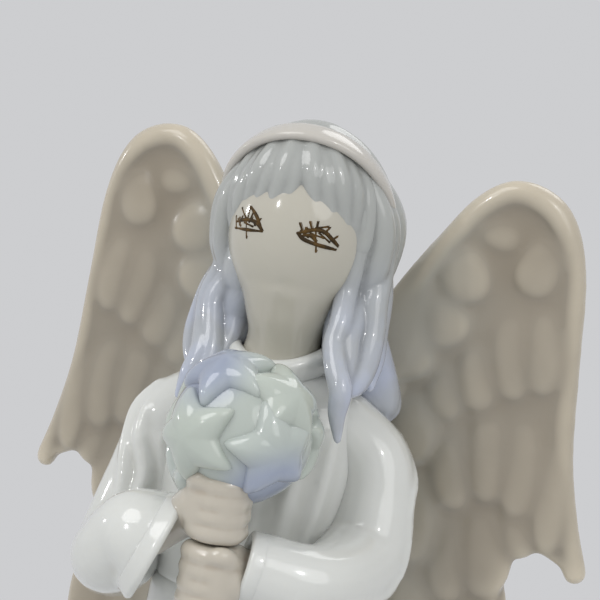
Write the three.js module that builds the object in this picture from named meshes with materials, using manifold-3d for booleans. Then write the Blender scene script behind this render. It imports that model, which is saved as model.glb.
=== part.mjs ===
// Glazed ceramic angel holding a wand topped with a ball of raised stars.
// Millimetres. The figure faces -Y and stands on z = 0; +X is the figure's own left.
import * as THREE from "three";
import { mergeVertices } from "three/addons/utils/BufferGeometryUtils.js";
import Module from "manifold-3d";

const kernel = await Module();
kernel.setup();

// Slip seam left between neighbouring castings, and the wall of the hollow ones
const LUTE = 0.3;
const WALL = 3;

// Foot
const FOOT_HEIGHT = 3;
const FOOT_MARGIN = 1.2;
const FOOT_CHAMFER = 0.8;
const VENT_RADIUS = 4;
const VENT_SETBACK = 12;

// Gown
const SKIRT_LENGTH = 84.7;
const HEM_WIDTH = 56;
const HEM_DEPTH = 50;
const FOLD_COUNT = 13;
const FOLD_DEPTH = 1.5;
const BODICE_LENGTH = 31.2;
const WAIST_WIDTH = 27;
const WAIST_DEPTH = 21;
const CHEST_WIDTH = 29;
const CHEST_DEPTH = 21;
const SHOULDER_WIDTH = 27;
const SHOULDER_DEPTH = 18.6;
const SHOULDER_DROP = 7.5;
const COLLAR_RADIUS = 7;
const COLLAR_THICKNESS = 1.1;
const COLLAR_TILT = 6;

// Head, turned a little to the figure's left; angles are in degrees
const NECK_RADIUS = 4.6;
const NECK_BORE = 2;
const NECK_TENON = 4;
const CHIN_RISE = 2.6;
const HEAD_WIDTH = 19;
const HEAD_DEPTH = 20;
const HEAD_HEIGHT = 26;
const HEAD_SIDE = 0.7;
const HEAD_SETBACK = -1;
const HEAD_TURN = 8.6;
const JAW_TAPER = 0.32;
const CHIN_FORWARD = 1.8;

// Hair and headband
const HAIR_THICKNESS = 2.4;
const HAIR_RIDGES = 14;
const RIDGE_DEPTH = 0.35;
const CROWN_FLOOR = 6.5;
const FACE_WIDTH = 18;
const HAIRLINE = 10.8;
const FRINGE_RADIUS = 1.5;
const LOCK_RADIUS = 2;
const BACK_STRANDS = 5;
const BACK_RADIUS = 3.3;
const BACK_HAIR_DROP = 3;
const BACK_SPREAD = 62;
const BAND_WIDTH = 3.6;
const BAND_THICKNESS = 1.5;
const BAND_LEAN = 0.51;
const BAND_TUCK = 0.46;

// Sleeves and cuffs
const SLEEVE_SHOULDER = 4.4;
const SLEEVE_ARM = 5.1;
const SLEEVE_ELBOW = 5.9;
const LEFT_SLEEVE_FOREARM = 5;
const LEFT_SLEEVE_WRIST = 4.3;
const RIGHT_SLEEVE_FOREARM = 6.1;
const RIGHT_SLEEVE_WRIST = 6.2;
const ELBOW_FORWARD = 5;
const LEFT_ELBOW_DROP = 16.4;
const LEFT_ELBOW_OUT = 1.2;
const RIGHT_ELBOW_DROP = 21.4;
const RIGHT_ELBOW_OUT = 2.6;
const LEFT_FOREARM_FORWARD = 3;
const RIGHT_FOREARM_FORWARD = 4.5;
const LEFT_FOREARM_SAG = 1.4;
const RIGHT_FOREARM_SAG = -3;
const LEFT_FOREARM_OUT = 2.7;
const RIGHT_FOREARM_OUT = 0.7;
const RIGHT_MOUTH_IN = 1.5;
const RIGHT_MOUTH_BACK = 2;
const RIGHT_MOUTH_DROP = 3.6;
const RIGHT_MOUTH_DEPTH = 3.5;
const SLEEVE_WALL = 1.4;
const CUFF_LENGTH = 2.4;
const CUFF_THICKNESS = 0.7;

// Wand, star ball and hands
const WAND_SIDE = 2.4;
const STEM_RADIUS = 1.6;
const STEM_TAIL = 4;
const BALL_RADIUS = 8.9;
const BALL_SINK = 3.8;
const BALL_SETBACK = 3.3;
const STAR_RELIEF = 1.1;
const STAR_RIM = 0.5;
const STAR_TIP = 45;
const STAR_WAIST = 23;
const RIGHT_HAND_DROP = 8.9;
const HAND_PITCH = 8.8;
const FINGER_RADIUS = 1.15;
const FINGER_PITCH = 1.8;
const WRIST_RADIUS = 3.1;
const WRIST_SETBACK = 2.3;
const LEFT_WRIST_REACH = 4.2;
const LEFT_WRIST_RISE = 1.3;
const RIGHT_WRIST_REACH = 11.9;
const RIGHT_WRIST_RISE = -4.9;

// Wings
const WING_SETBACK = 2.6;
const WING_SWEEP = 3;
const WING_RIM = 5;
const WING_RIM_DEPTH = 4;
const WING_BLADE = 2.4;
const FEATHER_DEPTH = 3.6;
const WING_ROOT_WIDTH = 8.4;
const WING_ROOT_HEIGHT = 22;

// Glaze colour and roughness
const GLAZE = {
  gown: [0xd9dbd8, 0.14],
  skin: [0xdcd6c8, 0.16],
  hand: [0xe3d3c4, 0.16],
  hair: [0xb4b8c4, 0.14],
  band: [0xe0dccf, 0.14],
  wing: [0xb4a898, 0.16],
  blue: [0xa9b4d8, 0.12],
  celadon: [0xc6d6cc, 0.12],
};

// Levels that follow from the stacked pieces
const SKIRT_FLOOR = FOOT_HEIGHT + LUTE;
const WAIST = SKIRT_FLOOR + SKIRT_LENGTH;
const BODICE_FLOOR = WAIST + LUTE;
const NECK = BODICE_FLOOR + BODICE_LENGTH;
const SHOULDER = NECK - SHOULDER_DROP;
const HEAD_Z = NECK + CHIN_RISE + HEAD_HEIGHT / 2;
const RIGHT_HAND = SHOULDER - RIGHT_HAND_DROP;
const LEFT_HAND = RIGHT_HAND - HAND_PITCH;
const HAND_HALF = FINGER_PITCH * 1.5 + FINGER_RADIUS;
const BALL_Z = RIGHT_HAND + HAND_HALF + BALL_RADIUS - BALL_SINK;
const STEM_END = LEFT_HAND - HAND_HALF - STEM_TAIL;
const BALL_Y = -(SHOULDER_DEPTH / 2 + BALL_RADIUS + LUTE);
const WAND_Y = BALL_Y - BALL_SETBACK;
const WING_Y = CHEST_DEPTH / 2 + WING_SETBACK;

const at = (x, y, z) => new THREE.Vector3(x, y, z);
const blend = THREE.MathUtils.lerp;
const radians = THREE.MathUtils.degToRad;
const degrees = THREE.MathUtils.radToDeg;

// A closed solid from any closed geometry, whichever way its faces were wound.
function solid(geometry) {
  const bare = new THREE.BufferGeometry();
  bare.setAttribute("position", geometry.getAttribute("position"));
  bare.setIndex(geometry.index);
  const merged = mergeVertices(bare, 1e-4);
  const corners = Array.from(merged.index.array);
  const make = (flip) => {
    const faces = [];
    for (let i = 0; i < corners.length; i += 3) {
      const [a, b, c] = corners.slice(i, i + 3);
      if (a !== b && b !== c && c !== a) faces.push(...(flip ? [a, c, b] : [a, b, c]));
    }
    const vertProperties = new Float32Array(merged.getAttribute("position").array);
    const triVerts = new Uint32Array(faces);
    return new kernel.Manifold(new kernel.Mesh({ numProp: 3, vertProperties, triVerts }));
  };
  const made = make(false);
  return made.volume() < 0 ? make(true) : made;
}

function geometryOf(body) {
  const mesh = body.getMesh();
  const geometry = new THREE.BufferGeometry();
  const places = new Float32Array(mesh.vertProperties);
  geometry.setAttribute("position", new THREE.BufferAttribute(places, 3));
  geometry.setIndex(new THREE.BufferAttribute(new Uint32Array(mesh.triVerts), 1));
  geometry.computeVertexNormals();
  return geometry;
}

const union = (bodies) => bodies.reduce((whole, body) => whole.add(body));
const cut = (body, ...tools) => tools.reduce((rest, tool) => rest.subtract(tool), body);

// The main body left after cutting, without slivers that came loose.
function largest(body) {
  return body.decompose().reduce((best, one) => (one.volume() > best.volume() ? one : best));
}

// Moves every vertex of a geometry through a function of its place.
function shaped(geometry, move) {
  const place = geometry.getAttribute("position");
  const point = new THREE.Vector3();
  for (let i = 0; i < place.count; i += 1) {
    point.fromBufferAttribute(place, i);
    move(point);
    place.setXYZ(i, point.x, point.y, point.z);
  }
  return geometry;
}

// Skins a list of equal rings of points and closes both ends with a middle point.
function skinned(rings, first, last) {
  const sides = rings[0].length;
  const points = [...rings.flat(), first, last];
  const faces = [];
  for (let i = 0; i + 1 < rings.length; i += 1) {
    for (let j = 0; j < sides; j += 1) {
      const k = (j + 1) % sides;
      const [a, b] = [i * sides + j, i * sides + k];
      faces.push(a, b, b + sides, a, b + sides, a + sides);
    }
  }
  const top = (rings.length - 1) * sides;
  for (let j = 0; j < sides; j += 1) {
    const k = (j + 1) % sides;
    faces.push(points.length - 2, k, j, points.length - 1, top + j, top + k);
  }
  const geometry = new THREE.BufferGeometry().setFromPoints(points);
  return geometry.setIndex(faces);
}

// A standing form from level sections { z, rx, ry }, with an optional ripple of its radius.
function loft(sections, sides, ripple = () => 0) {
  const rings = sections.map(({ z, rx, ry }) =>
    Array.from({ length: sides }, (_, j) => {
      const angle = (j / sides) * Math.PI * 2;
      const swell = ripple(angle, z);
      return at((rx + swell) * Math.cos(angle), (ry + swell) * Math.sin(angle), z);
    }),
  );
  return skinned(rings, at(0, 0, sections[0].z), at(0, 0, sections.at(-1).z));
}

// A tapering form through [point, radius] stops, with rounded ends; facing flattens it.
function limb(stops, { grow = 0, sides = 8, steps = 12, flat = 1, facing = null } = {}) {
  const line = new THREE.CatmullRomCurve3(stops.map(([point]) => point));
  let normal = at(0.3, -1, 0.2);
  const rings = [];
  const ends = [];
  for (let i = 0; i <= steps; i += 1) {
    const t = i / steps;
    const middle = line.getPoint(t);
    const along = line.getTangent(t);
    if (facing) normal = facing(middle);
    normal = normal.clone().addScaledVector(along, -normal.dot(along)).normalize();
    const across = along.clone().cross(normal);
    const place = t * (stops.length - 1);
    const stop = Math.min(Math.floor(place), stops.length - 2);
    const radius = blend(stops[stop][1], stops[stop + 1][1], place - stop);
    const ring = [];
    for (let j = 0; j < sides; j += 1) {
      const angle = (j / sides) * Math.PI * 2;
      const point = middle.clone().addScaledVector(normal, Math.cos(angle) * (radius * flat + grow));
      ring.push(point.addScaledVector(across, Math.sin(angle) * (radius + grow)));
    }
    rings.push(ring);
    if (i === 0) ends.push(middle.clone().addScaledVector(along, -radius / 2 - grow));
    if (i === steps) ends.push(middle.clone().addScaledVector(along, radius / 2 + grow));
  }
  return skinned(rings, ...ends);
}

function ellipsoid(middle, half, around, down) {
  const geometry = new THREE.SphereGeometry(1, around, down).rotateX(Math.PI / 2);
  return geometry.scale(...half).translate(...middle);
}

function rod(radius, from, to, sides) {
  const geometry = new THREE.CylinderGeometry(radius, radius, to - from, sides);
  return geometry.rotateX(Math.PI / 2).translate(0, 0, (from + to) / 2);
}

// Foot: a low oval plinth with a vent through it, set back from the middle.
function footSolid() {
  const inset = (z, by) => ({
    z,
    rx: HEM_WIDTH / 2 + FOOT_MARGIN - by,
    ry: HEM_DEPTH / 2 + FOOT_MARGIN - by,
  });
  const levels = [inset(0, FOOT_CHAMFER), inset(FOOT_CHAMFER, 0)];
  levels.push(inset(FOOT_HEIGHT - FOOT_CHAMFER, 0), inset(FOOT_HEIGHT, FOOT_CHAMFER));
  const vent = rod(VENT_RADIUS, -1, FOOT_HEIGHT + 1, 20).translate(0, VENT_SETBACK, 0);
  return cut(solid(loft(levels, 44)), solid(vent));
}

// Skirt: a bell whose folds die out towards the waist. The hollow runs out of both ends.
function skirtSolid(grow = 0) {
  const sections = [0, 0.08, 0.22, 0.4, 0.6, 0.8, 1].map((t) => skirtSection(t, grow, grow));
  const fold = (angle, z) => {
    const fade = Math.max(0, 1 - (z - SKIRT_FLOOR) / SKIRT_LENGTH);
    return FOLD_DEPTH * Math.min(1, 1.4 * fade) * Math.cos(FOLD_COUNT * angle);
  };
  return solid(loft(sections, FOLD_COUNT * 4, fold));
}
const skirtHollow = () => solid(loft([0, 0.3, 0.6, 1].map((t) => skirtSection(t, -WALL, 1)), 20));
function skirtSection(t, inset, reach) {
  const spread = (1 - t) ** 1.55;
  const tuck = 1 - 0.05 * (1 - t) ** 12;
  return {
    z: blend(SKIRT_FLOOR - reach, WAIST + reach, t),
    rx: blend(WAIST_WIDTH / 2, HEM_WIDTH / 2, spread) * tuck - FOLD_DEPTH * spread + inset,
    ry: blend(WAIST_DEPTH / 2, HEM_DEPTH / 2, spread) * tuck - FOLD_DEPTH * spread + inset,
  };
}

// Bodice: hollow up to the shoulders and bored through to the neck.
const BODICE = [
  { z: BODICE_FLOOR, rx: WAIST_WIDTH / 2, ry: WAIST_DEPTH / 2 },
  { z: blend(BODICE_FLOOR, SHOULDER, 0.55), rx: CHEST_WIDTH / 2, ry: CHEST_DEPTH / 2 },
  { z: SHOULDER, rx: SHOULDER_WIDTH / 2, ry: SHOULDER_DEPTH / 2 },
  {
    z: blend(SHOULDER, NECK, 0.55),
    rx: blend(SHOULDER_WIDTH / 2, COLLAR_RADIUS, 0.4),
    ry: blend(SHOULDER_DEPTH / 2, COLLAR_RADIUS, 0.4),
  },
  { z: NECK, rx: COLLAR_RADIUS, ry: COLLAR_RADIUS },
];
function bodiceSolid(grow = 0) {
  const sections = BODICE.map(({ z, rx, ry }, i) => {
    const reach = (i === BODICE.length - 1 ? grow : 0) - (i === 0 ? grow : 0);
    return { z: z + reach, rx: rx + grow, ry: ry + grow };
  });
  return solid(loft(sections, 28));
}
function bodiceHollow() {
  const inset = ({ z, rx, ry }, by, reach) => ({ z: z - reach, rx: rx - by, ry: ry - by });
  const sections = [inset(BODICE[0], WALL, 1), inset(BODICE[1], WALL, 0)];
  sections.push(inset(BODICE[2], WALL * 1.5, 0));
  return solid(loft(sections, 18));
}
// A point on the bodice, or lifted from it: degrees round from the front at a height.
function onBodice(round, z, lift = 0) {
  const upper = BODICE.findIndex((section) => section.z >= z);
  const i = upper < 1 ? (upper === 0 ? 1 : BODICE.length - 1) : upper;
  const t = THREE.MathUtils.clamp((z - BODICE[i - 1].z) / (BODICE[i].z - BODICE[i - 1].z), 0, 1);
  const rx = blend(BODICE[i - 1].rx, BODICE[i].rx, t) + lift;
  const ry = blend(BODICE[i - 1].ry, BODICE[i].ry, t) + lift;
  return at(Math.sin(radians(round)) * rx, -Math.cos(radians(round)) * ry, z);
}

// Collar: a rolled rim on the edge of the bodice's neck.
function collarSolid(grow = 0) {
  const ring = new THREE.TorusGeometry(COLLAR_RADIUS, COLLAR_THICKNESS + grow, 6, 20);
  return solid(ring.rotateX(radians(COLLAR_TILT)).translate(0, 0, NECK + LUTE));
}

function neckSolid(grow = 0) {
  const top = NECK + CHIN_RISE + NECK_TENON;
  const sections = [NECK + LUTE - grow, top + grow].map((z) => {
    return { z, rx: NECK_RADIUS + grow, ry: NECK_RADIUS + grow };
  });
  return solid(loft(sections, 18));
}
const boreSolid = () => solid(rod(NECK_BORE, SHOULDER - WALL, HEAD_Z, 12));

// The head is modelled about its own middle, then turned and set on the neck.
const headGroup = new THREE.Group();
headGroup.name = "head_group";
headGroup.position.set(HEAD_SIDE, HEAD_SETBACK, HEAD_Z);
headGroup.rotation.z = radians(HEAD_TURN);
headGroup.updateMatrix();
const placed = (geometry) => solid(geometry.applyMatrix4(headGroup.matrix));

// A point on the head, or lifted from it: degrees round from the face and up from the middle.
function onHead(round, up, lift = 0) {
  const a = radians(round);
  const e = radians(up);
  const low = e < 0 ? Math.sin(e) ** 2 : 0;
  const taper = 1 - JAW_TAPER * low;
  const point = at(Math.sin(a) * Math.cos(e) * (HEAD_WIDTH / 2) * taper, 0, 0);
  point.y = -Math.cos(a) * Math.cos(e) * (HEAD_DEPTH / 2) * (0.4 + 0.6 * taper);
  point.z = Math.sin(e) * (HEAD_HEIGHT / 2);
  point.multiplyScalar(1 + lift / point.length());
  point.y -= CHIN_FORWARD * low;
  return point;
}
const besideHead = (...where) => onHead(...where).add(headGroup.position);
function headForm(lift, around, down, ridge = 0) {
  const ball = new THREE.SphereGeometry(1, around, down).rotateX(Math.PI / 2);
  return shaped(ball, (point) => {
    const round = Math.atan2(point.x, -point.y);
    const up = Math.asin(THREE.MathUtils.clamp(point.z, -1, 1));
    const rise = ridge * Math.cos(round * HAIR_RIDGES) * Math.cos(up);
    point.copy(onHead(degrees(round), degrees(up), lift + rise));
  });
}
const headSolid = (grow = 0) => placed(headForm(grow, 22, 14));

// Crown of hair: a ridged cap, open over the face and ending level behind the jaw.
// Grown to clear its neighbours, it is a smooth cap over the ridges.
function crownSolid(grow = 0) {
  const ridged = () => headForm(HAIR_THICKNESS, HAIR_RIDGES * 2, 12, RIDGE_DEPTH);
  const smooth = () => headForm(HAIR_THICKNESS + RIDGE_DEPTH + grow, 18, 10);
  const outer = placed(grow > 0 ? smooth() : ridged());
  const tall = HEAD_HEIGHT / 2 + HAIRLINE;
  const front = -HEAD_DEPTH * 0.14 - grow;
  const opening = new THREE.CylinderGeometry(1, 1, HEAD_DEPTH, 20);
  opening.scale(FACE_WIDTH / 2 - grow, 1, tall / 2 - grow);
  opening.translate(0, front - HEAD_DEPTH / 2, HAIRLINE - tall / 2);
  const wide = (HEAD_WIDTH + HEAD_DEPTH) * 2;
  const below = new THREE.BoxGeometry(wide, wide, HEAD_HEIGHT);
  below.translate(0, 0, -CROWN_FLOOR - grow - HEAD_HEIGHT / 2);
  return cut(outer, placed(opening), placed(below));
}

// Fringe: strands from under the band down the brow, [round at the tip, height of the tip].
const FRINGE = [
  [-62, -4],
  [-47, 5],
  [-33, 14],
  [-19, 21],
  [-5, 21],
  [10, 18],
  [25, 15],
  [41, 12],
  [57, 7],
];
function fringeSolid(grow = 0) {
  const strands = FRINGE.map(([round, tip]) => {
    const stops = [0, 0.35, 0.7, 1].map((t) => {
      const spot = onHead(blend(round * 0.9, round, t), blend(66, tip, t), FRINGE_RADIUS * 0.5);
      return [spot, FRINGE_RADIUS * (t < 1 ? 1 - 0.2 * t : 0.45)];
    });
    return placed(limb(stops, { grow, sides: 6, steps: 6 }));
  });
  return union(strands);
}

// Headband: a flat arch over the crown, leaning forward at the top and tucked back at the ears.
function bandSolid(grow = 0) {
  const stops = [-80, -53, -27, 0, 27, 53, 80].map((angle) => {
    const a = radians(angle);
    const tuck = BAND_TUCK - (BAND_LEAN + BAND_TUCK) * Math.cos(a);
    const way = at(Math.sin(a), tuck, Math.cos(a)).normalize();
    const round = degrees(Math.atan2(way.x, -way.y));
    const lift = HAIR_THICKNESS - BAND_THICKNESS * 0.25;
    return [onHead(round, degrees(Math.asin(way.z)), lift), BAND_WIDTH / 2];
  });
  const flat = BAND_THICKNESS / BAND_WIDTH;
  const facing = (point) => point.clone();
  return placed(limb(stops, { grow, sides: 6, steps: 14, flat, facing }));
}

// Side locks: each strand leaves the head at a bearing and ends on the bodice at
// [bearing, rise above the shoulder, lift from the cloth].
const LEFT_LOCK = [
  { round: 92, thick: 0.95, tip: [80, 5.5, 3.4] },
  { round: 76, thick: 0.95, tip: [62, 3, 2.2] },
  { round: 61, thick: 0.76, tip: [47, 0.6, 1.1] },
];
const RIGHT_LOCK = [
  { round: 90, thick: 1, tip: [66, 1.4, 1.5] },
  { round: 71, thick: 0.95, tip: [52, 2, 1.2] },
  { round: 60, thick: 0.76, tip: [40, 4, 1.1] },
];
function lockSolid(side, strands, grow = 0) {
  const bodies = strands.map(({ round, thick, tip: [bearing, rise, lift] }) => {
    const bend = radians(round);
    const jaw = besideHead(side * round, -20, HAIR_THICKNESS * 0.8);
    const fall = at(side * Math.sin(bend) * 1.12, -Math.cos(bend) * 0.86, 0);
    const nape = fall.multiplyScalar(HEAD_WIDTH / 2).setZ(NECK + CHIN_RISE * 2);
    nape.add(at(HEAD_SIDE, HEAD_SETBACK, 0));
    const tip = onBodice(side * bearing, SHOULDER + rise, lift);
    const radius = LOCK_RADIUS * thick;
    const stops = [
      [besideHead(side * round * 0.86, 38, HAIR_THICKNESS * 0.6), radius * 0.6],
      [besideHead(side * round, 8, HAIR_THICKNESS * 0.7), radius * 0.95],
      [jaw, radius],
      [nape, radius],
      [nape.clone().lerp(tip, 0.6), radius * 0.85],
      [tip, radius * 0.35],
    ];
    return solid(limb(stops, { grow, sides: 6, steps: 10 }));
  });
  return union(bodies);
}

// Back hair: strands side by side from ear to ear, hanging over the shoulder blades.
function backHairSolid(grow = 0) {
  const strands = Array.from({ length: BACK_STRANDS }, (_, i) => {
    const spread = (i / (BACK_STRANDS - 1)) * 2 - 1;
    const round = 180 + spread * BACK_SPREAD;
    const bend = radians(round);
    const nape = at(Math.sin(bend) * HEAD_WIDTH, -Math.cos(bend) * HEAD_DEPTH * 0.84, 0);
    nape.multiplyScalar(0.5).setZ(NECK + CHIN_RISE * 2);
    const tip = SHOULDER - BACK_HAIR_DROP * (1 - spread ** 2);
    const stops = [
      [besideHead(round, 48, HAIR_THICKNESS * 0.2), BACK_RADIUS * 0.5],
      [besideHead(round, 10, HAIR_THICKNESS * 0.5), BACK_RADIUS],
      [besideHead(round, -22, HAIR_THICKNESS * 0.5), BACK_RADIUS],
      [nape, BACK_RADIUS],
      [onBodice(round, SHOULDER + SHOULDER_DROP * 0.4, BACK_RADIUS * 0.6), BACK_RADIUS * 0.95],
      [onBodice(round, tip, BACK_RADIUS * 0.3), BACK_RADIUS * 0.45],
    ];
    return solid(limb(stops, { grow, sides: 6, steps: 8 }));
  });
  return union(strands);
}

// Arms: the sleeve runs from inside the bodice round the elbow to the wrist behind the grip.
const wristOf = ({ side, hand, wristReach, wristRise }) =>
  at(WAND_SIDE + side * wristReach, WAND_Y + WRIST_SETBACK, hand + wristRise);
const mouthOf = (arm) => wristOf(arm).add(arm.mouth);
function sleeveStops(arm) {
  const { side, elbowDrop, elbowOut } = arm;
  const root = onBodice(side * 90, SHOULDER, -SLEEVE_SHOULDER);
  const cap = onBodice(side * 90, SHOULDER - SLEEVE_SHOULDER, SLEEVE_SHOULDER * 0.1);
  const out = side * (CHEST_WIDTH / 2 + elbowOut);
  const elbow = at(out, -ELBOW_FORWARD, SHOULDER - elbowDrop);
  const mouth = mouthOf(arm);
  const upper = cap.clone().lerp(elbow, 0.5).add(at(side * 0.8, ELBOW_FORWARD * 0.2, 0));
  const forearm = elbow.clone().lerp(mouth, 0.5);
  forearm.add(at(side * arm.forearmOut, -arm.forearmForward, -arm.forearmSag));
  return [
    [root, SLEEVE_SHOULDER],
    [cap, SLEEVE_ARM * 0.95],
    [upper, SLEEVE_ARM],
    [elbow, SLEEVE_ELBOW],
    [forearm, arm.sleeveForearm],
    [mouth, arm.sleeveWrist],
  ];
}

// Anything round that stands across a sleeve's mouth, from its level sections.
function acrossMouth(arm, sections) {
  const line = new THREE.CatmullRomCurve3(sleeveStops(arm).map(([point]) => point));
  const turn = new THREE.Quaternion().setFromUnitVectors(at(0, 0, 1), line.getTangent(1));
  return solid(loft(sections, 14).applyQuaternion(turn).translate(...mouthOf(arm)));
}

// The hollow that a wide sleeve opens round its hand.
function mouthHollow(arm, grow) {
  const radius = arm.sleeveWrist - SLEEVE_WALL - grow;
  const floor = grow - arm.mouthDepth;
  return acrossMouth(arm, [
    { z: floor, rx: radius * 0.6, ry: radius * 0.6 },
    { z: floor * 0.5, rx: radius * 0.9, ry: radius * 0.9 },
    { z: CUFF_LENGTH * 2, rx: radius, ry: radius },
  ]);
}
function sleeveSolid(arm, grow = 0) {
  const sleeve = solid(limb(sleeveStops(arm), { grow, sides: 12, steps: 13 }));
  return arm.mouthDepth > 0 ? cut(sleeve, mouthHollow(arm, grow)) : sleeve;
}

// Cuff: a thin band round the end of a sleeve.
function cuffSolid(arm, grow = 0) {
  const outer = arm.sleeveWrist + LUTE + CUFF_THICKNESS + grow;
  const sections = [-1, -0.6, 0.6, 1].map((t) => {
    const radius = outer - (Math.abs(t) === 1 ? CUFF_THICKNESS * 0.5 : 0);
    return { z: (t * CUFF_LENGTH) / 2 + t * grow, rx: radius, ry: radius };
  });
  const band = acrossMouth(arm, sections);
  return arm.mouthDepth > 0 ? cut(band, mouthHollow(arm, grow)) : band;
}

// Hand: a palm beside the stem with four fingers and a thumb closed round it.
function handSolid(arm, grow = 0) {
  const { side, hand } = arm;
  const grip = STEM_RADIUS + LUTE + FINGER_RADIUS;
  const fingers = [-1.5, -0.5, 0.5, 1.5].map((n) => {
    const curl = [20, -35, -90, -145, -195].map((angle) => {
      const a = radians(angle);
      const x = WAND_SIDE + side * Math.cos(a) * grip;
      const spot = at(x, WAND_Y + Math.sin(a) * grip, hand + n * FINGER_PITCH);
      return [spot, FINGER_RADIUS * (angle < -180 ? 0.8 : 1)];
    });
    return solid(limb(curl, { grow, sides: 6, steps: 6 }));
  });
  const heel = at(WAND_SIDE + side * (grip + 0.3), WAND_Y + FINGER_RADIUS, hand);
  const half = [FINGER_RADIUS * 1.7, WRIST_RADIUS * 1.1, HAND_HALF].map((size) => size + grow);
  const wrist = wristOf(arm);
  const join = limb(
    [
      [wrist, WRIST_RADIUS],
      [wrist.clone().lerp(heel, 0.5), WRIST_RADIUS],
      [heel, WRIST_RADIUS * 0.9],
    ],
    { grow, sides: 8, steps: 3 },
  );
  const thumbAt = (out, forward, rise) =>
    at(WAND_SIDE + side * out, WAND_Y - forward, hand + rise * FINGER_PITCH);
  const thumb = limb(
    [
      [thumbAt(grip + 0.8, 0.3, 1.2), FINGER_RADIUS],
      [thumbAt(grip * 0.75, grip, 1.8), FINGER_RADIUS * 1.05],
      [thumbAt(grip * 0.2, grip * 1.15, 1.6), FINGER_RADIUS * 0.8],
    ],
    { grow, sides: 6, steps: 4 },
  );
  return union([...fingers, solid(ellipsoid(heel, half, 10, 6)), solid(join), solid(thumb)]);
}

const wandGroup = new THREE.Group();
wandGroup.name = "wand_group";
wandGroup.position.set(WAND_SIDE, WAND_Y, 0);
const BALL_MIDDLE = at(WAND_SIDE, BALL_Y, BALL_Z);

function stemSolid(grow = 0) {
  const stick = rod(STEM_RADIUS + grow, STEM_END - grow, BALL_Z - BALL_RADIUS * 0.5 + grow, 14);
  return solid(stick.translate(WAND_SIDE, WAND_Y, 0));
}
const ballSolid = (grow = 0) =>
  solid(ellipsoid(BALL_MIDDLE, Array(3).fill(BALL_RADIUS + grow), 22, 14));

// Stars: [round from the front, up, spin] in degrees and the glaze of each.
const STARS = [
  [-22, 0, 26, "celadon"],
  [70, 40, -24, "celadon"],
  [-28, 66, -22, "blue"],
  [50, -2, 14, "blue"],
  [-118, 8, 36, "celadon"],
  [136, 0, 0, "celadon"],
  [-74, -58, 8, "blue"],
];
function starSolid([round, up, spin], grow = 0) {
  const a = radians(round);
  const e = radians(up);
  const out = at(Math.sin(a) * Math.cos(e), -Math.cos(a) * Math.cos(e), Math.sin(e));
  const across = at(Math.cos(a), Math.sin(a), 0);
  const upward = out.clone().cross(across);
  const swell = degrees(grow / BALL_RADIUS);
  const outline = [];
  for (let i = 0; i < 10; i += 1) {
    const [reach, next] = i % 2 ? [STAR_WAIST, STAR_TIP] : [STAR_TIP, STAR_WAIST];
    outline.push([spin + 90 + i * 36, reach], [spin + 108 + i * 36, (reach + next) / 2]);
  }
  const place = (turn, angle, rise) => {
    const way = across.clone().multiplyScalar(Math.cos(turn)).addScaledVector(upward, Math.sin(turn));
    way.multiplyScalar(Math.sin(angle)).addScaledVector(out, Math.cos(angle));
    return way.multiplyScalar(BALL_RADIUS + rise).add(BALL_MIDDLE);
  };
  const ring = (share, rise) =>
    outline.map(([turn, reach]) => place(radians(turn), radians(reach + swell) * share, rise));
  const floor = LUTE - grow;
  const rim = LUTE + STAR_RIM + grow;
  const crest = LUTE + STAR_RELIEF + grow;
  const rings = [ring(0.5, floor), ring(1, floor), ring(1, rim)];
  rings.push(ring(0.72, blend(rim, crest, 0.6)), ring(0.36, blend(rim, crest, 0.92)));
  return solid(skinned(rings, place(0, 0, floor), place(0, 0, crest)));
}

// Wings: outward from the figure's middle and up from the shoulder. The leading edge runs
// from the root over the top to the outer tip; the blade closes behind it.
const WING_EDGE = [
  [5, 5],
  [12.4, 15],
  [17.6, 24.2],
  [21.4, 29.2],
  [25.2, 31],
  [29.8, 28.8],
  [32.8, 22],
  [33.8, 10],
  [34.8, -2],
  [36.8, -11],
  [38.9, -17.4],
];
const BLADE_END = [
  [38.2, -17],
  [35, -15.4],
  [31, -14.6],
  [27, -28],
  [14, -30],
  [4, -20],
];
// Feather rows: root and tip curves from the body outwards, in the same measure.
const FEATHERS = [
  { count: 5, root: [[8, 0], [18, 10], [24.6, 6]], tip: [[8, -34], [19, -50], [28.9, -42]], wide: 8.6 },
  { count: 5, root: [[9, 8], [17, 16], [30, 12]], tip: [[7, -20], [20, -24], [34.4, -13]], wide: 7.4 },
  { count: 5, root: [[10, 12], [17, 22], [28, 26]], tip: [[9, -4], [20, -6], [32, 1]], wide: 6.6 },
  { count: 4, root: [[12, 15], [17, 24], [26, 29]], tip: [[12, 6], [20, 6], [30, 15]], wide: 6 },
];
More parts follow.
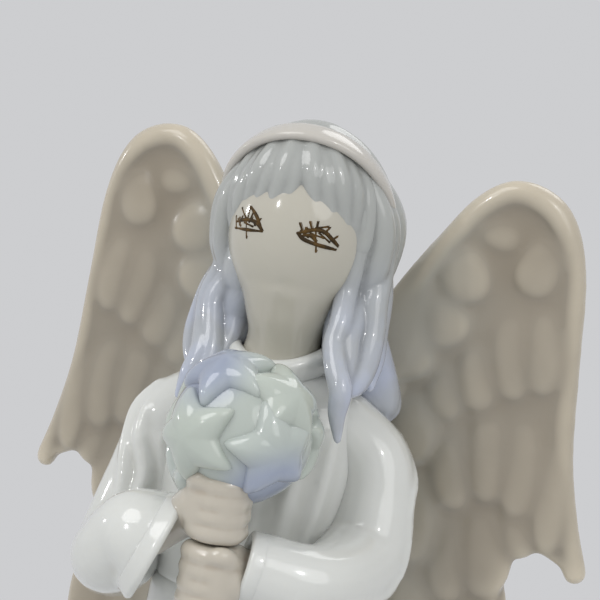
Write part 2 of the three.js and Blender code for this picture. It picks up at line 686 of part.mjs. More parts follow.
// One feather: [share of half the length, share of half the width], slim at the root.
const PETAL = [
  [-0.7, 0.8],
  [0.3, 1],
  [0.8, 0.84],
  [0.96, 0.46],
];
function feather(side, from, to, wide, lean) {
  const half = from.distanceTo(to) / 2;
  const rings = PETAL.map(([along, plump]) =>
    Array.from({ length: 6 }, (_, j) => {
      const angle = (j / 6) * Math.PI * 2;
      const across = Math.cos(angle) * plump * (wide / 2);
      return at(across, Math.sin(angle) * plump * (FEATHER_DEPTH / 2), along * half);
    }),
  );
  const petal = skinned(rings, at(0, 0, -half), at(0, 0, half));
  petal.rotateY(Math.atan2(side * (to.x - from.x), to.y - from.y));
  return petal.translate((side * (from.x + to.x)) / 2, lean, (from.y + to.y) / 2 + SHOULDER);
}
function wingSolid(side) {
  const edge = WING_EDGE.map(([x, z], i) => {
    const thin = i < WING_EDGE.length - 1 ? 1 : 0.6;
    return [at(side * x, 0, SHOULDER + z), (WING_RIM / 2) * thin];
  });
  const flat = WING_RIM_DEPTH / WING_RIM;
  const pieces = [limb(edge, { sides: 8, steps: 16, flat, facing: () => at(0, -1, 0) })];
  const outline = [...WING_EDGE.slice(0, 10), ...BLADE_END];
  const shape = new THREE.Shape(outline.map(([x, z]) => new THREE.Vector2(side * x, SHOULDER + z)));
  const blade = new THREE.ExtrudeGeometry(shape, { depth: WING_BLADE, bevelEnabled: false });
  pieces.push(blade.rotateX(Math.PI / 2).translate(0, WING_BLADE / 2, 0));
  FEATHERS.forEach(({ count, root, tip, wide }, row) => {
    const curves = [root, tip].map((three) => {
      const points = three.map(([x, z]) => new THREE.Vector2(x, z));
      return new THREE.QuadraticBezierCurve(...points);
    });
    for (let i = 0; i < count; i += 1) {
      const [from, to] = curves.map((curve) => curve.getPoint(i / (count - 1)));
      pieces.push(feather(side, from, to, wide, -0.1 * row - (i % 2) * 0.14));
    }
  });
  const inner = (WING_ROOT_WIDTH / 2) * 1.15;
  const half = [WING_ROOT_WIDTH / 2, WING_SETBACK + 0.8, WING_ROOT_HEIGHT / 2];
  const root = [side * inner, -WING_SETBACK, SHOULDER - WING_ROOT_HEIGHT * 0.4];
  pieces.push(ellipsoid(root, half, 12, 8));
  const whole = geometryOf(union(pieces.map(solid)));
  const reach = WING_EDGE.at(-1)[0];
  shaped(whole, (point) => {
    point.y += WING_Y + WING_SWEEP * (point.x / reach) ** 2;
  });
  return solid(whole);
}

// The figure
const materials = Object.fromEntries(
  Object.entries(GLAZE).map(([name, [color, roughness]]) => {
    return [name, new THREE.MeshStandardMaterial({ name, color, roughness, metalness: 0 })];
  }),
);
const angel = new THREE.Group();
angel.name = "ceramic_angel";
const gownGroup = new THREE.Group();
gownGroup.name = "gown_group";
const wingGroup = new THREE.Group();
wingGroup.name = "wing_group";
wingGroup.position.set(0, WING_Y, SHOULDER);
angel.add(gownGroup, headGroup, wandGroup, wingGroup);

function add(group, name, body, material) {
  group.updateMatrix();
  const geometry = geometryOf(largest(body)).applyMatrix4(group.matrix.clone().invert());
  const mesh = new THREE.Mesh(geometry, materials[material]);
  mesh.name = name;
  group.add(mesh);
}

const arms = [
  {
    name: "left",
    side: 1,
    hand: LEFT_HAND,
    wristReach: LEFT_WRIST_REACH,
    wristRise: LEFT_WRIST_RISE,
    elbowDrop: LEFT_ELBOW_DROP,
    elbowOut: LEFT_ELBOW_OUT,
    forearmOut: LEFT_FOREARM_OUT,
    forearmForward: LEFT_FOREARM_FORWARD,
    forearmSag: LEFT_FOREARM_SAG,
    sleeveForearm: LEFT_SLEEVE_FOREARM,
    sleeveWrist: LEFT_SLEEVE_WRIST,
    mouth: at(0, 0, 0),
    mouthDepth: 0,
    lock: LEFT_LOCK,
  },
  {
    name: "right",
    side: -1,
    hand: RIGHT_HAND,
    wristReach: RIGHT_WRIST_REACH,
    wristRise: RIGHT_WRIST_RISE,
    elbowDrop: RIGHT_ELBOW_DROP,
    elbowOut: RIGHT_ELBOW_OUT,
    forearmOut: RIGHT_FOREARM_OUT,
    forearmForward: RIGHT_FOREARM_FORWARD,
    forearmSag: RIGHT_FOREARM_SAG,
    sleeveForearm: RIGHT_SLEEVE_FOREARM,
    sleeveWrist: RIGHT_SLEEVE_WRIST,
    mouth: at(RIGHT_MOUTH_IN, RIGHT_MOUTH_BACK, -RIGHT_MOUTH_DROP),
    mouthDepth: RIGHT_MOUTH_DEPTH,
    lock: RIGHT_LOCK,
  },
];
const gown = [skirtSolid(LUTE), bodiceSolid(LUTE)];
const sleeves = arms.map((arm) => sleeveSolid(arm, LUTE));
const hands = arms.map((arm) => handSolid(arm, LUTE));
const wand = [ballSolid(LUTE), stemSolid(LUTE), ...STARS.map((star) => starSolid(star, LUTE))];
const neckline = [neckSolid(LUTE), collarSolid(LUTE)];
const cap = [headSolid(LUTE), crownSolid(LUTE), bandSolid(LUTE)];
const locks = arms.map(({ side, lock }) => lockSolid(side, lock, LUTE));
const fringe = fringeSolid(LUTE);
const backHair = backHairSolid(LUTE);

add(gownGroup, "foot", footSolid(), "gown");
add(gownGroup, "gown_skirt", cut(skirtSolid(), skirtHollow()), "gown");
add(gownGroup, "gown_bodice", cut(bodiceSolid(), bodiceHollow(), boreSolid()), "gown");
add(gownGroup, "collar", cut(collarSolid(), gown[1], neckline[0], cap[0]), "gown");
add(headGroup, "neck", cut(neckSolid(), boreSolid()), "skin");
const cavity = placed(headForm(-WALL, 12, 8));
add(headGroup, "head", cut(headSolid(), cavity, neckline[0]), "skin");
add(headGroup, "hair_crown", cut(crownSolid(), cap[0], cap[2]), "hair");
add(headGroup, "headband", cut(bandSolid(), cap[0]), "band");
add(headGroup, "hair_fringe", cut(fringeSolid(), ...cap), "hair");
const behind = [...cap, ...neckline, ...gown, ...sleeves, ...locks, fringe];
add(headGroup, "hair_back", cut(backHairSolid(), ...behind), "hair");

arms.forEach((arm, i) => {
  const { name, side, lock } = arm;
  const beside = [...cap, fringe, ...neckline, ...gown, ...sleeves];
  add(headGroup, `hair_lock_${name}`, cut(lockSolid(side, lock), ...beside), "hair");
  add(gownGroup, `sleeve_${name}`, cut(sleeveSolid(arm), ...gown, ...wand), "gown");
  add(gownGroup, `cuff_${name}`, cut(cuffSolid(arm), sleeves[i], ...hands, ...wand, ...gown), "gown");
  const other = i === 1 ? [] : [hands[1]];
  add(gownGroup, `hand_${name}`, cut(handSolid(arm), ...wand, ...sleeves, ...other), "hand");
  const front = [...gown, backHair, ...sleeves, ...locks, cap[1]];
  add(wingGroup, `wing_${name}`, cut(wingSolid(side), ...front), "wing");
});

add(wandGroup, "wand_stem", stemSolid(), "hand");
add(wandGroup, "star_ball", cut(ballSolid(), wand[1], ...gown), "blue");
const [, , ...stars] = wand;
STARS.forEach((star, i) => {
  const laid = stars.slice(0, i);
  add(wandGroup, `star_${i + 1}`, cut(starSolid(star), wand[1], ...laid, ...gown), star[3]);
});

export default angel;
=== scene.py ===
import math
from contextlib import contextmanager
from functools import cache, cached_property

import bpy
import numpy as np
from mathutils import Matrix, Vector


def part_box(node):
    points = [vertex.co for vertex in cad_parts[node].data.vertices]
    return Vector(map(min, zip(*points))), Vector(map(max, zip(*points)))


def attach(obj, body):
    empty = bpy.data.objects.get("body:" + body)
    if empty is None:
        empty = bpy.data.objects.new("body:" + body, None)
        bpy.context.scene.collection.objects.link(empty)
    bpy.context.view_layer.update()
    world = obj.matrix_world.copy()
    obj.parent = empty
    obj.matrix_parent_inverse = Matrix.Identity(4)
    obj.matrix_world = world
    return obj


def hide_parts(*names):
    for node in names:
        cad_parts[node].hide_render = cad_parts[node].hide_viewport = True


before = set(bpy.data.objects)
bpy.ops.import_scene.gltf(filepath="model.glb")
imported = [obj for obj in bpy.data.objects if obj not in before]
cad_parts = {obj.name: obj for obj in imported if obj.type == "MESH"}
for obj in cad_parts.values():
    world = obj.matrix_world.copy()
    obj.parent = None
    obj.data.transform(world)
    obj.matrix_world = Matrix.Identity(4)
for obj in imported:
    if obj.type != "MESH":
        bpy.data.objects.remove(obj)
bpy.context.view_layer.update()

bl_info = {
    "name": "Glazed Ceramic Angel",
    "version": (1, 0, 0),
    "blender": (4, 5, 0),
    "location": "View3D > Sidebar > Angel",
    "description": "Models and glazes a ceramic angel that holds a wand with a ball of raised stars",
    "category": "Object",
}

MM = 0.001
BODY = "root"


# Sizes and colours

def length(label, size, text):
    """A size in millimetres, kept in metres."""
    return bpy.props.FloatProperty(
        name=label, description=text, default=size * MM, min=0.0, precision=5, unit="LENGTH")


def tint(label, red, green, blue, text):
    """A glaze colour given as it looks on a screen, from 0 to 255."""
    shares = [channel / 255 for channel in (red, green, blue)]
    linear = [s / 12.92 if s < 0.04045 else ((s + 0.055) / 1.055) ** 2.4 for s in shares]
    return bpy.props.FloatVectorProperty(
        name=label, description=text, default=linear, size=3, min=0.0, max=1.0, subtype="COLOR")


class AngelSizes(bpy.types.PropertyGroup):
    """Sizes of the figurine."""

    hem_width: length("Hem width", 56, "Across the skirt at the hem")
    hem_depth: length("Hem depth", 50, "Front to back of the skirt at the hem")
    fold_depth: length("Fold depth", 1.5, "Half the depth of a fold at the hem")
    fold_count: bpy.props.IntProperty(
        name="Folds", description="Folds round the skirt", default=13, min=3)
    waist_width: length("Waist width", 27, "Across the waist")
    waist_depth: length("Waist depth", 21, "Front to back of the waist")
    chest_width: length("Chest width", 29, "Across the chest")
    chest_depth: length("Chest depth", 21, "Front to back of the chest")
    shoulder_width: length("Shoulder width", 27, "Across the shoulders")
    shoulder_depth: length("Shoulder depth", 18.6, "Front to back of the shoulders")
    collar_radius: length("Collar radius", 7, "Middle of the rolled collar")
    collar_roll: length("Collar roll", 1.1, "Half the thickness of the rolled collar")
    neck_radius: length("Neck radius", 4.6, "Radius of the neck")
    head_width: length("Head width", 19, "Across the head without hair")
    head_depth: length("Head depth", 20, "Front to back of the head without hair")
    head_height: length("Head height", 26, "Chin to top of the head without hair")
    chin_forward: length("Chin forward", 1.8, "How far the chin comes forward")
    hair_thickness: length("Hair thickness", 2.4, "Cap of hair on the head")
    ridge_depth: length("Hair ridges", 0.35, "Half the depth of the combed ridges")
    band_width: length("Band width", 3.6, "Width of the headband")
    band_thickness: length("Band thickness", 1.5, "Thickness of the headband")
    lash_width: length("Lash stroke", 0.5, "Width of a painted lash stroke")
    cuff_length: length("Cuff length", 2.4, "Length of a cuff along the sleeve")
    stem_radius: length("Stem radius", 1.6, "Radius of the wand's stem")
    ball_radius: length("Ball radius", 9.25, "Radius of the ball under its stars")
    star_relief: length("Star relief", 1.1, "Height of a star's middle over the ball")
    finger_radius: length("Finger radius", 1.3, "Radius of a finger")
    finger_pitch: length("Finger pitch", 1.95, "Finger to finger")
    wing_rim: length("Wing rim", 4, "Thickness of the wing's rolled rim")
    wing_blade: length("Wing blade", 2.4, "Thickness of the wing between its feathers")
    feather_depth: length("Feather depth", 3.6, "Thickness of the wing through a feather")


class AngelGlazes(bpy.types.PropertyGroup):
    """Glaze colours of the figurine."""

    gown: tint("Gown", 208, 209, 205, "White body of the gown")
    skin: tint("Face", 182, 178, 166, "Ivory of the face and neck")
    hand: tint("Hands", 188, 181, 168, "Pale pink cream of the hands")
    hair: tint("Hair", 161, 163, 160, "Grey of the hair")
    lock: tint("Locks", 169, 175, 191, "Bluer wash at the ends of the hair")
    band: tint("Headband", 184, 180, 173, "Cream of the headband")
    wing: tint("Wings", 150, 141, 126, "Taupe wash on the wings")
    rim: tint("Wing rims", 201, 191, 172, "Paler raised edges of the wings")
    celadon: tint("Stars", 176, 183, 175, "Pale green of the stars")
    cobalt: tint("Ball", 152, 161, 181, "Blue wash on the ball")
    lash: tint("Lashes", 52, 40, 22, "Brown of the painted lashes")
    floor: tint("Floor", 206, 207, 209, "Pale studio floor")


def size(name):
    """A size in millimetres."""
    return getattr(bpy.context.scene.angel_sizes, name) / MM


def colour(name):
    return tuple(getattr(bpy.context.scene.angel_glazes, name))


# Shaping

# Degrees at which the end of a roll is rounded off.
END_TURNS = (35, 62, 82)


def bearing(round_, up):
    """A direction from degrees round from the front and degrees up."""
    a = math.radians(round_)
    e = math.radians(up)
    return (math.sin(a) * math.cos(e), -math.cos(a) * math.cos(e), math.sin(e))


def smooth(low, high, value):
    """From 0 at low to 1 at high, smoothly."""
    t = max(0.0, min(1.0, (value - low) / (high - low)))
    return t * t * (3 - 2 * t)


def deselect():
    bpy.ops.object.select_all(action="DESELECT")


def only(piece):
    deselect()
    piece.select_set(True)
    bpy.context.view_layer.objects.active = piece


@contextmanager
def editing():
    """Edit mode on the active piece, with all of it selected."""
    bpy.ops.object.mode_set(mode="EDIT")
    bpy.ops.mesh.select_all(action="SELECT")
    yield
    bpy.ops.object.mode_set(mode="OBJECT")


def between(four, t):
    """A share t of the smooth way from the second of four values to the third."""
    a, b, c, d = four
    bend = a * 2 - b * 5 + c * 4 - d
    twist = b * 3 - a - c * 3 + d
    return (b * 2 + (c - a) * t + bend * t ** 2 + twist * t ** 3) / 2


def rounded_end(end, inner):
    """Stops that round off a line at its end stop, away from the stop inside it."""
    place, radius = end
    away = (place - inner[0]).normalized()
    stops = []
    for turn in END_TURNS:
        a = math.radians(turn)
        stops.append((place + away * radius * math.sin(a), radius * math.cos(a)))
    return stops


def line_through(stops, steps=8, blunt=False):
    """A smooth line through (point, radius) stops, rounded off unless its far end is blunt."""
    points = [Vector(point) for point, _ in stops]
    radii = [radius for _, radius in stops]
    places = [points[0] * 2 - points[1], *points, points[-1] * 2 - points[-2]]
    widths = [radii[0] * 2 - radii[1], *radii, radii[-1] * 2 - radii[-2]]
    line = []
    for i in range(len(points) - 1):
        for k in range(steps):
            t = k / steps
            line.append((between(places[i:i + 4], t), between(widths[i:i + 4], t)))
    line.append((points[-1], radii[-1]))
    near_end = rounded_end(line[0], line[1])
    far_end = [] if blunt else rounded_end(line[-1], line[-2])
    return [*reversed(near_end), *line, *far_end]


def rolled(strands, steps=8, blunt=False):
    """Rolls of clay, each along a smooth line that tapers through its stops."""
    deselect()
    bpy.ops.curve.primitive_nurbs_path_add()
    path = bpy.context.object
    path.data.splines.clear()
    for stops in strands:
        line = line_through(stops, steps, blunt)
        spline = path.data.splines.new("POLY")
        spline.points.add(len(line) - 1)
        for point, (place, radius) in zip(spline.points, line):
            point.co = (*(place * MM), 1)
            point.radius = radius
    path.data.bevel_depth = MM
    path.data.bevel_resolution = 8
    path.data.use_fill_caps = True
    bpy.ops.object.convert(target="MESH")
    return bpy.context.object


def squarer(share, power):
    """A share of a half size, pushed outwards by a power below 1."""
    return math.copysign(abs(share) ** power, share)


def pellet(middle, half, turn=(0, 0, 0), segments=32, rings=20, square=1.0):
    """A ball of clay pressed to half sizes, squarer below 1, turned and put in place."""
    deselect()
    bpy.ops.mesh.primitive_uv_sphere_add(segments=segments, ring_count=rings, radius=1)
    part = bpy.context.object
    for vertex in part.data.vertices:
        vertex.co = [squarer(share, square) for share in vertex.co]
    part.scale = Vector(half) * MM
    part.rotation_euler = turn
    part.location = Vector(middle) * MM
    bpy.ops.object.transform_apply()
    return part


def meshed(name, points, faces):
    """A new piece from points in millimetres and faces, selected."""
    mesh = bpy.data.meshes.new(name)
    mesh.from_pydata([Vector(point) * MM for point in points], [], faces)
    piece = bpy.data.objects.new(name, mesh)
    bpy.context.scene.collection.objects.link(piece)
    only(piece)
    return piece


def turned(sections, sides):
    """A standing form drawn up from a ring, level by level: (height, half width, half depth)."""
    deselect()
    first = sections[0]
    bpy.ops.mesh.primitive_circle_add(vertices=sides, radius=1, fill_type="NGON")
    form = bpy.context.object
    form.scale = (first[1] * MM, first[2] * MM, 1)
    form.location = (0, 0, first[0] * MM)
    bpy.ops.object.transform_apply()
    with editing():
        for low, high in zip(sections, sections[1:]):
            rise = (high[0] - low[0]) * MM
            bpy.ops.mesh.extrude_region_move(TRANSFORM_OT_translate={"value": (0, 0, rise)})
            share = (high[1] / low[1], high[2] / low[2], 1)
            bpy.ops.transform.resize(value=share, center_override=(0, 0, high[0] * MM))
        bpy.ops.mesh.select_all(action="SELECT")
        bpy.ops.mesh.normals_make_consistent(inside=False)
    return form


def moved(piece, move):
    """Moves every point of a piece by a rule, in millimetres."""
    mesh = piece.data
    for vertex in mesh.vertices:
        vertex.co = Vector(move(vertex.co / MM)) * MM
    mesh.update()
    return piece


def apply(piece, kind, **settings):
    """Adds one modifier, sets it and applies it."""
    only(piece)
    modifier = piece.modifiers.new(kind.lower(), kind)
    for key, value in settings.items():
        setattr(modifier, key, value)
    bpy.ops.object.modifier_apply(modifier=modifier.name)


# Angle between faces, in radians, past which an edge is rounded, and past which it looks sharp.
ROUNDED_PAST = 1.0
SHARP_PAST = math.radians(35)


def round_edges(piece, width, segments):
    """Rounds the sharp edges of a piece to a width in millimetres."""
    apply(piece, "BEVEL", width=width * MM, segments=segments, limit_method="ANGLE",
          angle_limit=ROUNDED_PAST)


def cut(piece, tool):
    """Takes a tool's shape out of a piece, and then the tool away."""
    apply(piece, "BOOLEAN", operation="DIFFERENCE", object=tool)
    bpy.data.objects.remove(tool)


def luted(parts, grain, soften):
    """Joins parts into one skin of clay of the given grain and softens it as glaze does."""
    deselect()
    for part in parts:
        part.select_set(True)
    bpy.context.view_layer.objects.active = parts[0]
    if len(parts) > 1:
        bpy.ops.object.join()
    whole = bpy.context.object
    apply(whole, "REMESH", mode="VOXEL", voxel_size=grain * MM)
    apply(whole, "SMOOTH", factor=0.5, iterations=soften)
    return whole


# How much of its neighbours' place a point takes in one step of evening out.
EVENING = 0.6


def mark_pools_and_shade(piece, reach, depth):
    """Keeps on each point how far it lies in a hollow, where glaze pools and shade is painted, or on an
    edge.
    """
    mesh = piece.data
    count = len(mesh.vertices)
    place = np.empty(count * 3)
    mesh.vertices.foreach_get("co", place)
    place = place.reshape(-1, 3)
    normal = np.empty(count * 3)
    mesh.vertices.foreach_get("normal", normal)
    ends = np.empty(len(mesh.edges) * 2, dtype=np.int32)
    mesh.edges.foreach_get("vertices", ends)
    one, two = ends[0::2], ends[1::2]
    degree = np.maximum(np.bincount(ends, minlength=count), 1)
    soft = place.copy()
    for _ in range(reach):
        for axis in range(3):
            total = np.bincount(one, soft[two, axis], count) + np.bincount(two, soft[one, axis], count)
            soft[:, axis] = (1 - EVENING) * soft[:, axis] + EVENING * total / degree
    hollow = ((soft - place) * normal.reshape(-1, 3)).sum(axis=1) / (depth * MM)
    layer = mesh.attributes.new("pool", "FLOAT", "POINT")
    layer.data.foreach_set("value", np.clip(hollow, -1, 1).astype(np.float32))


def painted(piece, name, finish):
    """Names a piece, shades it smooth and gives it its one material."""
    piece.name = name
    piece.data.name = name
    only(piece)
    bpy.ops.object.shade_smooth()
    piece.data.materials.clear()
    piece.data.materials.append(finish)


def fired(piece, name, nodes, finish, reach=24, depth=0.25):
    """Finishes a piece: smooth, marked for pooled glaze and painted shade, glazed, and standing for its
    nodes.
    """
    painted(piece, name, finish)
    mark_pools_and_shade(piece, reach, depth)
    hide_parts(*nodes)
    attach(piece, BODY)


# Glazes

class Value:
    """A number that a node gives, worked with as in an expression."""

    def __init__(self, paint, socket):
        self.paint = paint
        self.socket = socket

    def worked(self, operation, one, two=0.0, clamp=False):
        """What a Math node makes of two values."""
        settings = {"operation": operation, "use_clamp": clamp}
        made = self.paint.node("ShaderNodeMath", settings, {0: one, 1: two})
        return Value(self.paint, made.outputs[0])

    def __add__(self, other):
        return self.worked("ADD", self, other)

    def __radd__(self, other):
        return self.worked("ADD", other, self)

    def __sub__(self, other):
        return self.worked("SUBTRACT", self, other)

    def __rsub__(self, other):
        return self.worked("SUBTRACT", other, self)

    def __mul__(self, other):
        return self.worked("MULTIPLY", self, other)

    def __rmul__(self, other):
        return self.worked("MULTIPLY", other, self)

    def __neg__(self):
        return self.worked("MULTIPLY", self, -1.0)

    def __abs__(self):
        return self.worked("ABSOLUTE", self)

    def clamped(self):
        return self.worked("ADD", self, 0.0, clamp=True)


class Paint:
    """The nodes of one material, or of the world."""

    def __init__(self, owner, shader="Principled BSDF"):
        owner.use_nodes = True
        self.owner = owner
        self.tree = owner.node_tree
        self.shader = self.tree.nodes[shader]

    @cached_property
    def place(self):
        """Where a point lies, in metres."""
        return self.node("ShaderNodeTexCoord").outputs["Object"]

    def node(self, kind, settings=None, sockets=None):
        """Adds a node of a kind, sets it, then gives its sockets values or links."""
        made = self.tree.nodes.new(kind)
        for key, value in (settings or {}).items():
            setattr(made, key, value)
        for key, value in (sockets or {}).items():
            self.feed(made.inputs[key], value)
        return made

    def feed(self, socket, value):
        """Links a value to a socket, or sets it there."""
        source = value.socket if isinstance(value, Value) else value
        if isinstance(source, bpy.types.NodeSocket):
            self.tree.links.new(source, socket)
        elif isinstance(source, tuple) and len(source) == 3 and socket.type == "RGBA":
            socket.default_value = (*source, 1.0)
        else:
            socket.default_value = source

    def clouds(self, scale, detail, rough=0.5):
        """Soft noise from 0 to 1."""
        sockets = {"Vector": self.place, "Scale": scale, "Detail": detail, "Roughness": rough}
        return Value(self, self.node("ShaderNodeTexNoise", None, sockets).outputs[0])

    def pool(self):
        """How far a point lies in a hollow, where glaze pools and shade is painted, below 0 on an edge.
        """
        made = self.node("ShaderNodeAttribute", {"attribute_name": "pool"})
        return Value(self, made.outputs["Fac"])

    def part(self, axis):
        """One coordinate of a point, in metres."""
        made = self.node("ShaderNodeSeparateXYZ", None, {0: self.place})
        return Value(self, made.outputs[axis])

    def ease(self, value, low, high):
        """From 0 at low to 1 at high, smoothly."""
        settings = {"interpolation_type": "SMOOTHSTEP"}
        sockets = {"Value": value, "From Min": low, "From Max": high}
        return Value(self, self.node("ShaderNodeMapRange", settings, sockets).outputs[0])

    def away(self, point):
        """Distance from a point in millimetres."""
        sockets = {0: self.place, 1: tuple(Vector(point) * MM)}
        made = self.node("ShaderNodeVectorMath", {"operation": "DISTANCE"}, sockets)
        return Value(self, made.outputs["Value"])

    def near(self, point, inner, outer):
        """1 within inner of a point in millimetres, 0 past outer."""
        return self.ease(self.away(point), outer * MM, inner * MM)

    def mix(self, share, one, two):
        """A colour between two others."""
        sockets = {0: share, 6: one, 7: two}
        return self.node("ShaderNodeMix", {"data_type": "RGBA"}, sockets).outputs[2]

    def seen(self):
        """1 for what the camera sees, straight, mirrored or through something clear."""
        path = self.node("ShaderNodeLightPath").outputs
        total = Value(self, path["Is Camera Ray"])
        for ray in ("Is Glossy Ray", "Is Transmission Ray"):
            total = total + Value(self, path[ray])
        return total.clamped()


def new_paint(name):
    return Paint(bpy.data.materials.new(name))


# How widely the gloss varies, how strong the glaze's ripple is, and how deep it is in metres.
ROUGH_RANGE = 0.12
RIPPLE = 0.05
RIPPLE_DEPTH = 0.0004


def glazed(paint, base, rough):
    """Feeds a colour under a clear gloss glaze with its faint ripple."""
    shader = paint.shader
    shader.inputs["IOR"].default_value = 1.5
    shader.inputs["Coat Roughness"].default_value = 0.03
    shader.inputs["Coat Weight"].default_value = 0.5
    shader.inputs["Subsurface Weight"].default_value = 0.2
    shader.inputs["Subsurface Radius"].default_value = (1.0, 0.95, 0.85)
    shader.inputs["Subsurface Scale"].default_value = 0.002
    paint.feed(shader.inputs["Base Color"], base)
    uneven = paint.clouds(180, 2) * ROUGH_RANGE + (rough - ROUGH_RANGE / 2)
    paint.feed(shader.inputs["Roughness"], uneven)
    grain = paint.clouds(420, 2) + paint.clouds(90, 1) * 2
    sockets = {"Height": grain, "Strength": RIPPLE, "Distance": RIPPLE_DEPTH}
    made = paint.node("ShaderNodeBump", None, sockets)
    paint.feed(shader.inputs["Normal"], made.outputs[0])
    return paint.owner


def washed_and_shaded(paint, body, hollow, edge, deep=1.0, pale=1.0):
    """A body colour that deepens in hollows, partly where glaze pools and partly as painted shade, and
    pales over edges where glaze thins, a little uneven.
    """
    pool = paint.pool()
    uneven = paint.clouds(110, 4, 0.6) * 0.5 + 0.75
    shade = paint.mix((pool * uneven * deep).clamped(), body, hollow)
    return paint.mix((-pool * uneven * pale).clamped(), shade, edge)


def toned(shade, *factors):
    """A colour times one factor for each channel."""
    return tuple(channel * factor for channel, factor in zip(shade, factors))


def shaded(shade, by):
    """A colour made darker by a factor below 1, or paler by one above it."""
    return toned(shade, by, by, by)


def gown_glaze():
    paint = new_paint("gown_glaze")
    white = colour("gown")
    hollow = toned(white, 0.84, 0.83, 0.79)
    shade = washed_and_shaded(paint, white, hollow, shaded(white, 1.04), deep=0.9, pale=0.6)
    cloud = paint.ease(paint.clouds(38, 2), 0.45, 0.75)
    shade = paint.mix(cloud * 0.25, shade, toned(white, 0.93, 0.95, 0.97))
    return glazed(paint, shade, rough=0.14)


def skin_glaze():
    paint = new_paint("skin_glaze")
    ivory = colour("skin")
    shade = washed_and_shaded(paint, ivory, shaded(ivory, 0.8), shaded(ivory, 1.05))
    cloud = paint.ease(paint.clouds(70, 2), 0.4, 0.7)
    shade = paint.mix(cloud * 0.3, shade, toned(ivory, 0.97, 1.0, 0.96))
    return glazed(paint, shade, rough=0.13)


def hand_glaze():
    paint = new_paint("hand_glaze")
    cream = colour("hand")
    hollow = toned(cream, 0.8, 0.7, 0.62)
    shade = washed_and_shaded(paint, cream, hollow, shaded(cream, 1.05), deep=1.2, pale=0.7)
    return glazed(paint, shade, rough=0.13)


def hair_glaze():
    paint = new_paint("hair_glaze")
    grey = colour("hair")
    blue = colour("lock")
    # The blue wash begins 137 mm up and is full at 116 mm.
    low = paint.ease(paint.part(2), 137 * MM, 116 * MM)
    cloud = paint.ease(paint.clouds(120, 3), 0.35, 0.65)
    wash = (low * (cloud * 0.7 + 0.45)).clamped()
    body = paint.mix(wash, grey, blue)
    hollow = paint.mix(wash, shaded(grey, 0.74), shaded(blue, 0.7))
    edge = paint.mix(wash, shaded(grey, 1.14), shaded(blue, 1.2))
    shade = washed_and_shaded(paint, body, hollow, edge, deep=1.1, pale=0.9)
    return glazed(paint, shade, rough=0.12)


def band_glaze():
    paint = new_paint("band_glaze")
    cream = colour("band")
    shade = washed_and_shaded(paint, cream, shaded(cream, 0.75), shaded(cream, 1.05))
    return glazed(paint, shade, rough=0.14)


def wing_glaze():
    paint = new_paint("wing_glaze")
    taupe = colour("wing")
    rim = colour("rim")
    cloud = paint.ease(paint.clouds(60, 3), 0.3, 0.75)
    # The roots are paler, from 27 mm off the middle inwards, partly the wash and partly painted light
    # that lifts the shade there.
    root = paint.ease(abs(paint.part(0)), 27 * MM, 12 * MM)
    body = paint.mix(cloud * 0.45, taupe, toned(taupe, 0.86, 0.9, 0.94))
    body = paint.mix(root, body, toned(taupe, 1.22, 1.34, 1.46))
    hollow = toned(taupe, 0.76, 0.72, 0.66)
    # Painted shadow in the hollow under the bend of the rim.
    for side in (1, -1):
        painted_rim_shadow = paint.near((side * 25.0, 14.0, SHOULDER + 24.0), 2.0, 8.0)
        body = paint.mix(painted_rim_shadow * 0.4, body, hollow)
    shade = washed_and_shaded(paint, body, hollow, rim, deep=1.0, pale=1.6)
    material = glazed(paint, shade, rough=0.22)
    paint.shader.inputs["Coat Weight"].default_value = 0.3
    return material


def ball_glaze(name, strength, ground):
    """Celadon with cobalt washes of a strength in places, over a ground that is blue all over."""
    paint = new_paint(name)
    green = colour("celadon")
    blue = colour("cobalt")
    middle = ball_middle()
    # Where the cobalt is brushed on.
    top = middle + Vector((-4.0, -4.5, 7.5))
    side = middle + Vector((6.5, -4.5, -5.5))
    back = middle + Vector((-4.0, 7.0, -4.0))
    cloud = paint.clouds(150, 3) * 0.6 + 0.7
    wash = paint.near(top, 1.5, 7.5) + paint.near(side, 2.5, 8.0) + paint.near(back, 2.0, 7.0)
    wash = (wash * cloud * strength + ground).clamped()
    body = paint.mix(wash, green, blue)
    body = paint.mix(paint.near(top, 1.0, 7.0) * 0.8, body, shaded(blue, 0.72))
    hollow = paint.mix(wash, toned(green, 0.72, 0.77, 0.73), shaded(blue, 0.68))
    edge = paint.mix(wash, shaded(green, 1.08), toned(blue, 1.12, 1.1, 1.05))
    shade = washed_and_shaded(paint, body, hollow, edge, deep=1.2, pale=0.9)
    return glazed(paint, shade, rough=0.1)


def lash_paint():
    paint = new_paint("lash_paint")
    brown = colour("lash")
    cloud = paint.ease(paint.clouds(900, 2), 0.35, 0.7)
    shade = paint.mix(cloud, brown, toned(brown, 3.2, 2.8, 1.8))
    material = glazed(paint, shade, rough=0.4)
    paint.shader.inputs["Coat Weight"].default_value = 0.0
    paint.shader.inputs["Specular IOR Level"].default_value = 0.15
    return material


@cache
def glaze(name):
    """The material of a name, made the first time it is asked for."""
    makers = {
        "gown": gown_glaze,
        "skin": skin_glaze,
        "hand": hand_glaze,
        "hair": hair_glaze,
        "band": band_glaze,
        "wing": wing_glaze,
        "ball": lambda: ball_glaze("ball_glaze", strength=1.0, ground=0.06),
        "blue_star": lambda: ball_glaze("blue_star_glaze", strength=1.0, ground=0.12),
        "star": lambda: ball_glaze("star_glaze", strength=0.55, ground=0.0),
        "lash": lash_paint,
    }
    return makers[name]()


# Places on the figure, in millimetres

def span(node):
    """The levels of a node's lowest and highest point."""
    low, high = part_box(node)
    return low.z / MM, high.z / MM


HEM, WAIST = span("gown_skirt")
BODICE_FLOOR, NECK = span("gown_bodice")
SHOULDER_DROP = 7.5
SHOULDER = NECK - SHOULDER_DROP
HEAD_TURN = math.radians(8.6)
HEAD_MIDDLE = Vector((0.7, -1.0, 135.1))
# How much the jaw narrows across, and how much of that it narrows from front to back.
JAW_TAPER = 0.32
JAW_DEPTH = 0.6


